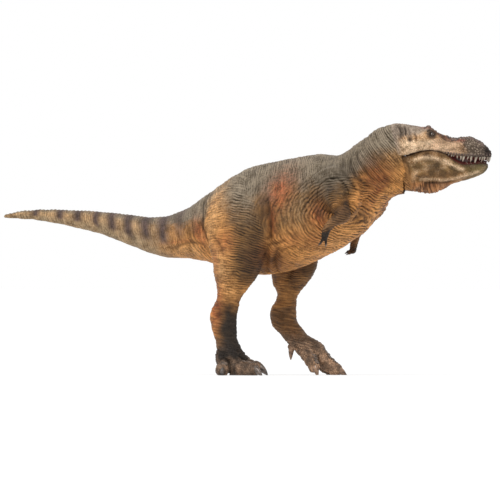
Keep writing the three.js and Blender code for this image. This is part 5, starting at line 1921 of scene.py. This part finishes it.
PUPIL_EDGE = (0.16, 0.22)
IRIS_EDGE = (0.52, 0.6)


def eye_material():
    material, tree = new_material("eye")
    ring = mask(tree, "ring")
    place = add(tree, "ShaderNodeTexCoord").outputs["Object"]
    flecks = noise_fac(tree, place, Scale=2600.0, Detail=3.0)
    amber = blend_colours(tree, flecks, paint(44, 28, 15), paint(104, 74, 42))
    around = blend_colours(tree, spread(tree, ring, *IRIS_EDGE), amber, paint(38, 24, 18))
    colour = blend_colours(tree, spread(tree, ring, *PUPIL_EDGE), paint(6, 5, 5), around)
    finish_with(tree, colour, 0.08, {"Coat Weight": 0.6})
    return material


def steel_material():
    material, tree = new_material("drawn steel")
    lines = noise_fac(tree, add(tree, "ShaderNodeTexCoord").outputs["Object"], Scale=700.0, Detail=5.0)
    colour = blend_colours(tree, lines, paint(150, 150, 152), paint(205, 205, 208))
    finish_with(tree, colour, spread(tree, lines, 0.3, 0.7, 0.24, 0.42), Metallic=1.0)
    return material


steel = steel_material()
eye_finish = eye_material()
for node in ("jaw_pin", "tail_wire", "right_leg_wire", "left_leg_wire"):
    cad = frame["nodes"][node]
    cad.data.materials.clear()
    cad.data.materials.append(steel)

# %% [markdown]
# ## Teeth and tongue
# The upper teeth hang over the lower lip, long and short by turns, and lean back a little. The tongue fills
# the mouth up to the palate, so that the closed mouth is dark behind the teeth.

# %% Teeth
def head_point(x, y, z):
    return head_origin + head_ahead * x + head_left * y + UP * z


LIP_SHARE = 0.95
UPPER_INSET = 0.9
LOWER_INSET = 1.7
TOOTH_ROOT = 1.0


def lip_place(table, column, x, inside):
    """How far aside and how high the lip is. The lip is the column 1 of the skull and 0 of the jaw."""
    row = read(table, x / HEAD_LENGTH)
    return (LIP_SHARE * row[2] * HEAD_WIDTH / 2 - inside), row[column] * HEAD_DEPTH


upper_row = [
    (31.2, 1.3), (32.9, 1.9), (34.5, 1.5), (36.2, 2.4), (38.6, 3.0), (40.6, 3.9), (43.3, 2.6), (45.2, 4.3),
    (48.3, 4.6), (50.4, 2.6), (51.9, 3.6), (53.4, 3.0), (54.9, 3.4), (56.0, 2.6),
]
lower_row = [
    (33.6, 1.0), (35.7, 1.4), (38.0, 1.2), (40.5, 1.8), (43.0, 2.0), (45.4, 1.5), (47.8, 2.0), (50.0, 1.6),
    (51.6, 2.2), (53.0, 1.9),
]
front_row = [(-3.4, 3.6), (-2.2, 3.0), (-0.8, 3.8), (0.8, 3.5), (2.2, 3.9), (3.4, 3.1)]


def teeth_along(table, column, row, way, inset):
    """The teeth of both sides of a jaw. `way` is 1 where they point up and -1 where they hang."""
    rows = []
    for x, length in row:
        across, lip = lip_place(table, column, x, inset)
        for side in (-1, 1):
            root = head_point(x, side * across, lip - way * TOOTH_ROOT)
            tip = UP * way + head_left * side * 0.06 + head_ahead * 0.16 * math.sin(2.3 * x)
            girth = 0.5 + 0.1 * length
            rows.append((root, tip, -head_ahead, (girth, girth * 0.8, length + 0.8)))
    return rows


teeth = {
    "upper_teeth": teeth_along(skull, 1, upper_row, -1, UPPER_INSET),
    "lower_teeth": teeth_along(lower_jaw, 0, lower_row, 1, LOWER_INSET),
}
for y, length in front_row:
    x = 56.6 - 0.12 * y * y
    root = head_point(x, y, lip_place(skull, 1, x, 0)[1] + 0.8)
    teeth["upper_teeth"].append((root, -UP, -head_ahead, (0.85, 0.7, length + 0.8)))
for node, rows in teeth.items():
    piece = grow(node, rows, ivory, 10, 6, 1.7, 0.8, 0.7)
    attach(piece, "jaw" if node == "lower_teeth" else "body")
    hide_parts(node)

# %% Place the tongue
tongue = cast("tongue", tongue_field, tongue_field)
tongue.data.materials.append(wet_flesh)
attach(tongue, "jaw")
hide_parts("tongue")

# %% [markdown]
# ## Eyes
# An eye is a ball with a slight bulge over the iris. The iris and the pupil are rings about the way the
# eye looks, so each point of the ball carries its distance from that way as a mask.

# %% Eyes
EYE_RADIUS = 1.45
EYE_SINK = 0.15
BULGE_LIFT = 0.09
BULGE_WIDTH = 0.45
LOOK_AHEAD = 0.35
LOOK_UP = 0.05


def eyeball(node):
    low, high = corners(node)
    centre = (low + high) / 2
    side = 1 if (centre - head_origin) @ head_left > 0 else -1
    look = unit(head_left * side + head_ahead * LOOK_AHEAD + UP * LOOK_UP)
    ball = bmesh.new()
    bmesh.ops.create_uvsphere(ball, u_segments=40, v_segments=24, radius=1.0)
    mesh = bpy.data.meshes.new(node + "_ball")
    ball.to_mesh(mesh)
    ball.free()
    points = points_of(mesh) * MM
    away = np.linalg.norm(np.cross(points, look), axis=1)
    away = np.where(points @ look > 0, away, 1.0)
    bulge = 1 + BULGE_LIFT * hump(away, 0, BULGE_WIDTH)
    set_points(mesh, centre - head_left * side * EYE_SINK + points * (EYE_RADIUS * bulge)[:, None])
    set_mask(mesh, "ring", away)
    mesh.materials.append(eye_finish)
    mesh.shade_smooth()
    mesh.update()
    piece = piece_from(node + "_ball", mesh)
    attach(piece, "body")
    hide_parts(node)
    print(node, "looks along", look.round(2))


for side in SIDES:
    eyeball(side + "_eye")

# %% [markdown]
# ## Claws, scutes and muzzle knobs
# Each toe ends in a blunt, curved claw, and a row of broad scutes runs along its top. Small knobs crowd
# the ridge of the muzzle and the edge of the upper lip.

# %% Claws of the feet
claw_sizes = {
    "right": [(2.1, 5.4), (2.6, 9.0), (2.5, 8.2), (1.4, 4.8)],
    "left": [(2.5, 8.6), (2.5, 7.8), (2.3, 7.2), (2.0, 7.8)],
}
CLAW_LIFT = 0.5
for name, leg in legs.items():
    rows = []
    for (points, radii), (girth, length) in zip(leg["chains"], claw_sizes[name]):
        ahead = unit(points[-1] - points[-4])
        root = points[-1] + ahead * 0.35 * radii[-1] + UP * 0.25 * radii[-1]
        tip = unit(ahead - 0.35 * UP) if ahead[2] > -0.8 else ahead
        drop = -length * tip[2] + 0.5 * girth
        tip = unit(tip + UP * max(0.0, drop + CLAW_LIFT - root[2]) / length)
        rows.append((root, tip, 0.05 * ahead - UP, (girth, girth * 0.85, length)))
    horn = claw_horn if name == "right" else brown_horn
    piece = grow(name + "_foot_claws", rows, horn, 14, 9, 1.8, 0.75, 0.8)
    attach(piece, "body")
    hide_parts(name + "_foot")

# %% Claws of the hands
HAND_CLAW = (0.75, 0.6, 3.0)
AHEAD = np.array([1.0, 0, 0])

for name in SIDES:
    rows = []
    for tip in finger_tips[name]:
        end = finger_end(name, *tip)
        way = unit(end - wrist_of(name))
        rows.append((end - way * 0.4, way, way[2] * AHEAD - 0.2 * UP, HAND_CLAW))
    piece = grow(name + "_hand_claws", rows, claw_horn, 10, 6, 1.8, 0.75, 0.9)
    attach(piece, name + "_arm")
    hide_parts(name + "_arm")


# %% Scutes on the toes
FIRST_SCUTE = 2.5
LAST_SCUTE = 0.3
SCUTE_SPACING = 1.75


def scutes_of(name):
    rows = []
    for points, radii in legs[name]["chains"][:3]:
        place = np.concatenate([[0], np.cumsum(np.linalg.norm(np.diff(points, axis=0), axis=1))])
        for at in np.arange(FIRST_SCUTE, place[-1] - LAST_SCUTE, SCUTE_SPACING):
            middle = np.array([np.interp(at, place, points[:, axis]) for axis in range(3)])
            size = np.interp(at, place, radii)
            ahead = unit([np.interp(at + 0.8, place, points[:, axis]) for axis in range(3)] - middle)
            top = unit(np.cross(ahead, np.cross(UP + 0.3 * head_ahead, ahead)))
            rows.append((middle + top * (size - 0.1), top, ahead, (0.95, 0.6 * size, 0.7)))
    return rows


for name in SIDES:
    piece = grow(name + "_toe_scutes", scutes_of(name), scute_hide, 10, 4, 2.0, 0.5, 0.0)
    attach(piece, "body")
    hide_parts(name + "_foot")

# %% Knobs of the muzzle, the brow and the lip
luck = np.random.default_rng(5)
KNOB_ROWS = np.arange(30, 53, 1.8)
KNOB_LINES = (-5.2, -3.4, -1.7, 0, 1.7, 3.4, 5.2)
places = [(x + luck.uniform(-0.6, 0.6), y + luck.uniform(-0.4, 0.4), luck.uniform(0.7, 1.3), 0.7)
          for x in KNOB_ROWS for y in KNOB_LINES]
brow_knobs = [(16.6, 7.0, 1.0, 0.6), (18.4, 6.8, 1.6, 0.5), (20.6, 6.9, 1.2, 0.6), (22.6, 6.6, 0.9, 0.7),
              (24.4, 6.2, 0.7, 0.9), (27.0, 5.8, 0.7, 0.8)]
places += [(x, side * y, size, tall) for x, y, size, tall in brow_knobs for side in (-1, 1)]
starts = np.array([head_point(x, y, read(skull, x / HEAD_LENGTH)[0] * HEAD_DEPTH - 0.12 * abs(y) ** 1.4)
                   for x, y, _, _ in places])
settled = landed(skull_field, starts, 8)
slopes = slope_of(skull_field, settled, skull_field(settled))
lifts = head_relief(settled, "skull")[0]
knob_rows = []
for point, slope, lift, (_, _, size, tall) in zip(settled, slopes, lifts, places):
    out = unit(slope)
    if out[2] > 0.3:
        root = point + out * (lift - 0.35)
        knob_rows.append((root, out, head_ahead, (size, size * 0.85, 0.35 + tall * size)))
knobs = grow("muzzle_knobs", knob_rows, muzzle_knobs, 8, 4, 2.0, 0.5, 0.1)

LIP_SCALE = (0.95, 0.85, 0.75)
lip_rows = []
for x in np.arange(29, 56.5, 1.7):
    across, lip = lip_place(skull, 1, x, 0.0)
    aside, ahead = (1, 0) if x < 53 else (0.5, 0.8)
    for side in (-1, 1):
        out = unit(head_left * side * aside - UP * 0.15 + head_ahead * ahead)
        lip_rows.append((head_point(x, side * (across - 0.1), lip + 1.0), out, UP, LIP_SCALE))
lips = grow("lip_scales", lip_rows, muzzle_knobs, 8, 4, 2.0, 0.5, -0.2)
for piece in (knobs, lips):
    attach(piece, "body")
    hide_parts("skull")

# %% [markdown]
# ## Floor, light and camera
# The photograph was taken on a white sweep under soft light from above. The camera is far away with a
# long lens, level with the body and turned 25 degrees round towards the head.

# %% Floor and world
FLOOR_GREY = 0.8
BACKDROP_GLOW = 0.6
BACKDROP_LIGHT = 1.2
ROOM_LIGHT = 0.6
SUN_LIGHT = 1.75
SUN_HEIGHT = math.radians(58)
SUN_LEFT = math.radians(18)
SUN_SOFTNESS = math.radians(24)
FLOOR_HALF = 20.0
FLOOR_DROP = 0.0002
CAMERA_TURN = math.radians(25)
VIEW_WIDTH = 310.0
VIEW_CENTRE = (10.66, -0.87, 77.5)
LENS = 1200
SENSOR = 36
FARTHEST = 40


def seen_directly(tree):
    """1 for what the camera sees, also in a gloss or through glass, and 0 for what lights the figure."""
    sight = add(tree, "ShaderNodeLightPath").outputs
    seen = sums(tree, "MAXIMUM", sight["Is Camera Ray"], sight["Is Glossy Ray"])
    return sums(tree, "MAXIMUM", seen, sight["Is Transmission Ray"])


def backdrop_material():
    material, tree = new_material("backdrop")
    matte = add(tree, "ShaderNodeBsdfDiffuse", None, Color=(FLOOR_GREY, FLOOR_GREY, FLOOR_GREY, 1))
    glow = add(tree, "ShaderNodeEmission", None, Strength=BACKDROP_LIGHT)
    lit = add(tree, "ShaderNodeMixShader", None, i0=BACKDROP_GLOW, i1=matte.outputs[0], i2=glow.outputs[0])
    mixed = add(tree, "ShaderNodeMixShader", None,
                i0=seen_directly(tree), i1=matte.outputs[0], i2=lit.outputs[0])
    add(tree, "ShaderNodeOutputMaterial", None, Surface=mixed.outputs[0])
    return material


floor_mesh = bpy.data.meshes.new("floor")
floor_corners = [(x * FLOOR_HALF, y * FLOOR_HALF, 0) for x, y in ((-1, -1), (1, -1), (1, 1), (-1, 1))]
floor_mesh.from_pydata(floor_corners, [], [(0, 1, 2, 3)])
floor = piece_from("floor", floor_mesh)
floor.location.z = -FLOOR_DROP
floor_mesh.materials.append(backdrop_material())

world = bpy.data.worlds.new("studio")
bpy.context.scene.world = world
tree = nodes_of(world)
strength = spread(tree, seen_directly(tree), 0.0, 1.0, ROOM_LIGHT, 1.0)
glow = add(tree, "ShaderNodeBackground", None, Color=(1, 1, 1, 1), Strength=strength)
add(tree, "ShaderNodeOutputWorld", None, Surface=glow.outputs[0])

# %% Light and camera
back = Vector((math.sin(CAMERA_TURN), -math.cos(CAMERA_TURN), 0))
right = Vector((math.cos(CAMERA_TURN), math.sin(CAMERA_TURN), 0))
level_way = back * math.cos(SUN_LEFT) - right * math.sin(SUN_LEFT)
from_sun = level_way * math.cos(SUN_HEIGHT) + Vector((0, 0, math.sin(SUN_HEIGHT)))
sun = bpy.data.lights.new("soft sun", "SUN")
sun.energy = SUN_LIGHT
sun.angle = SUN_SOFTNESS
sun_lamp = bpy.data.objects.new("soft sun", sun)
bpy.context.scene.collection.objects.link(sun_lamp)
sun_lamp.rotation_euler = from_sun.to_track_quat("Z", "Y").to_euler()

lens = bpy.data.cameras.new("camera")
lens.lens = LENS
lens.sensor_width = SENSOR
lens.clip_end = FARTHEST
camera = bpy.data.objects.new("camera", lens)
bpy.context.scene.collection.objects.link(camera)
distance = VIEW_WIDTH * LENS / SENSOR
camera.location = (Vector(VIEW_CENTRE) + back * distance) * MM
camera.rotation_euler = (-back).to_track_quat("-Z", "Y").to_euler()
bpy.context.scene.camera = camera
bpy.context.scene.view_settings.view_transform = "Standard"
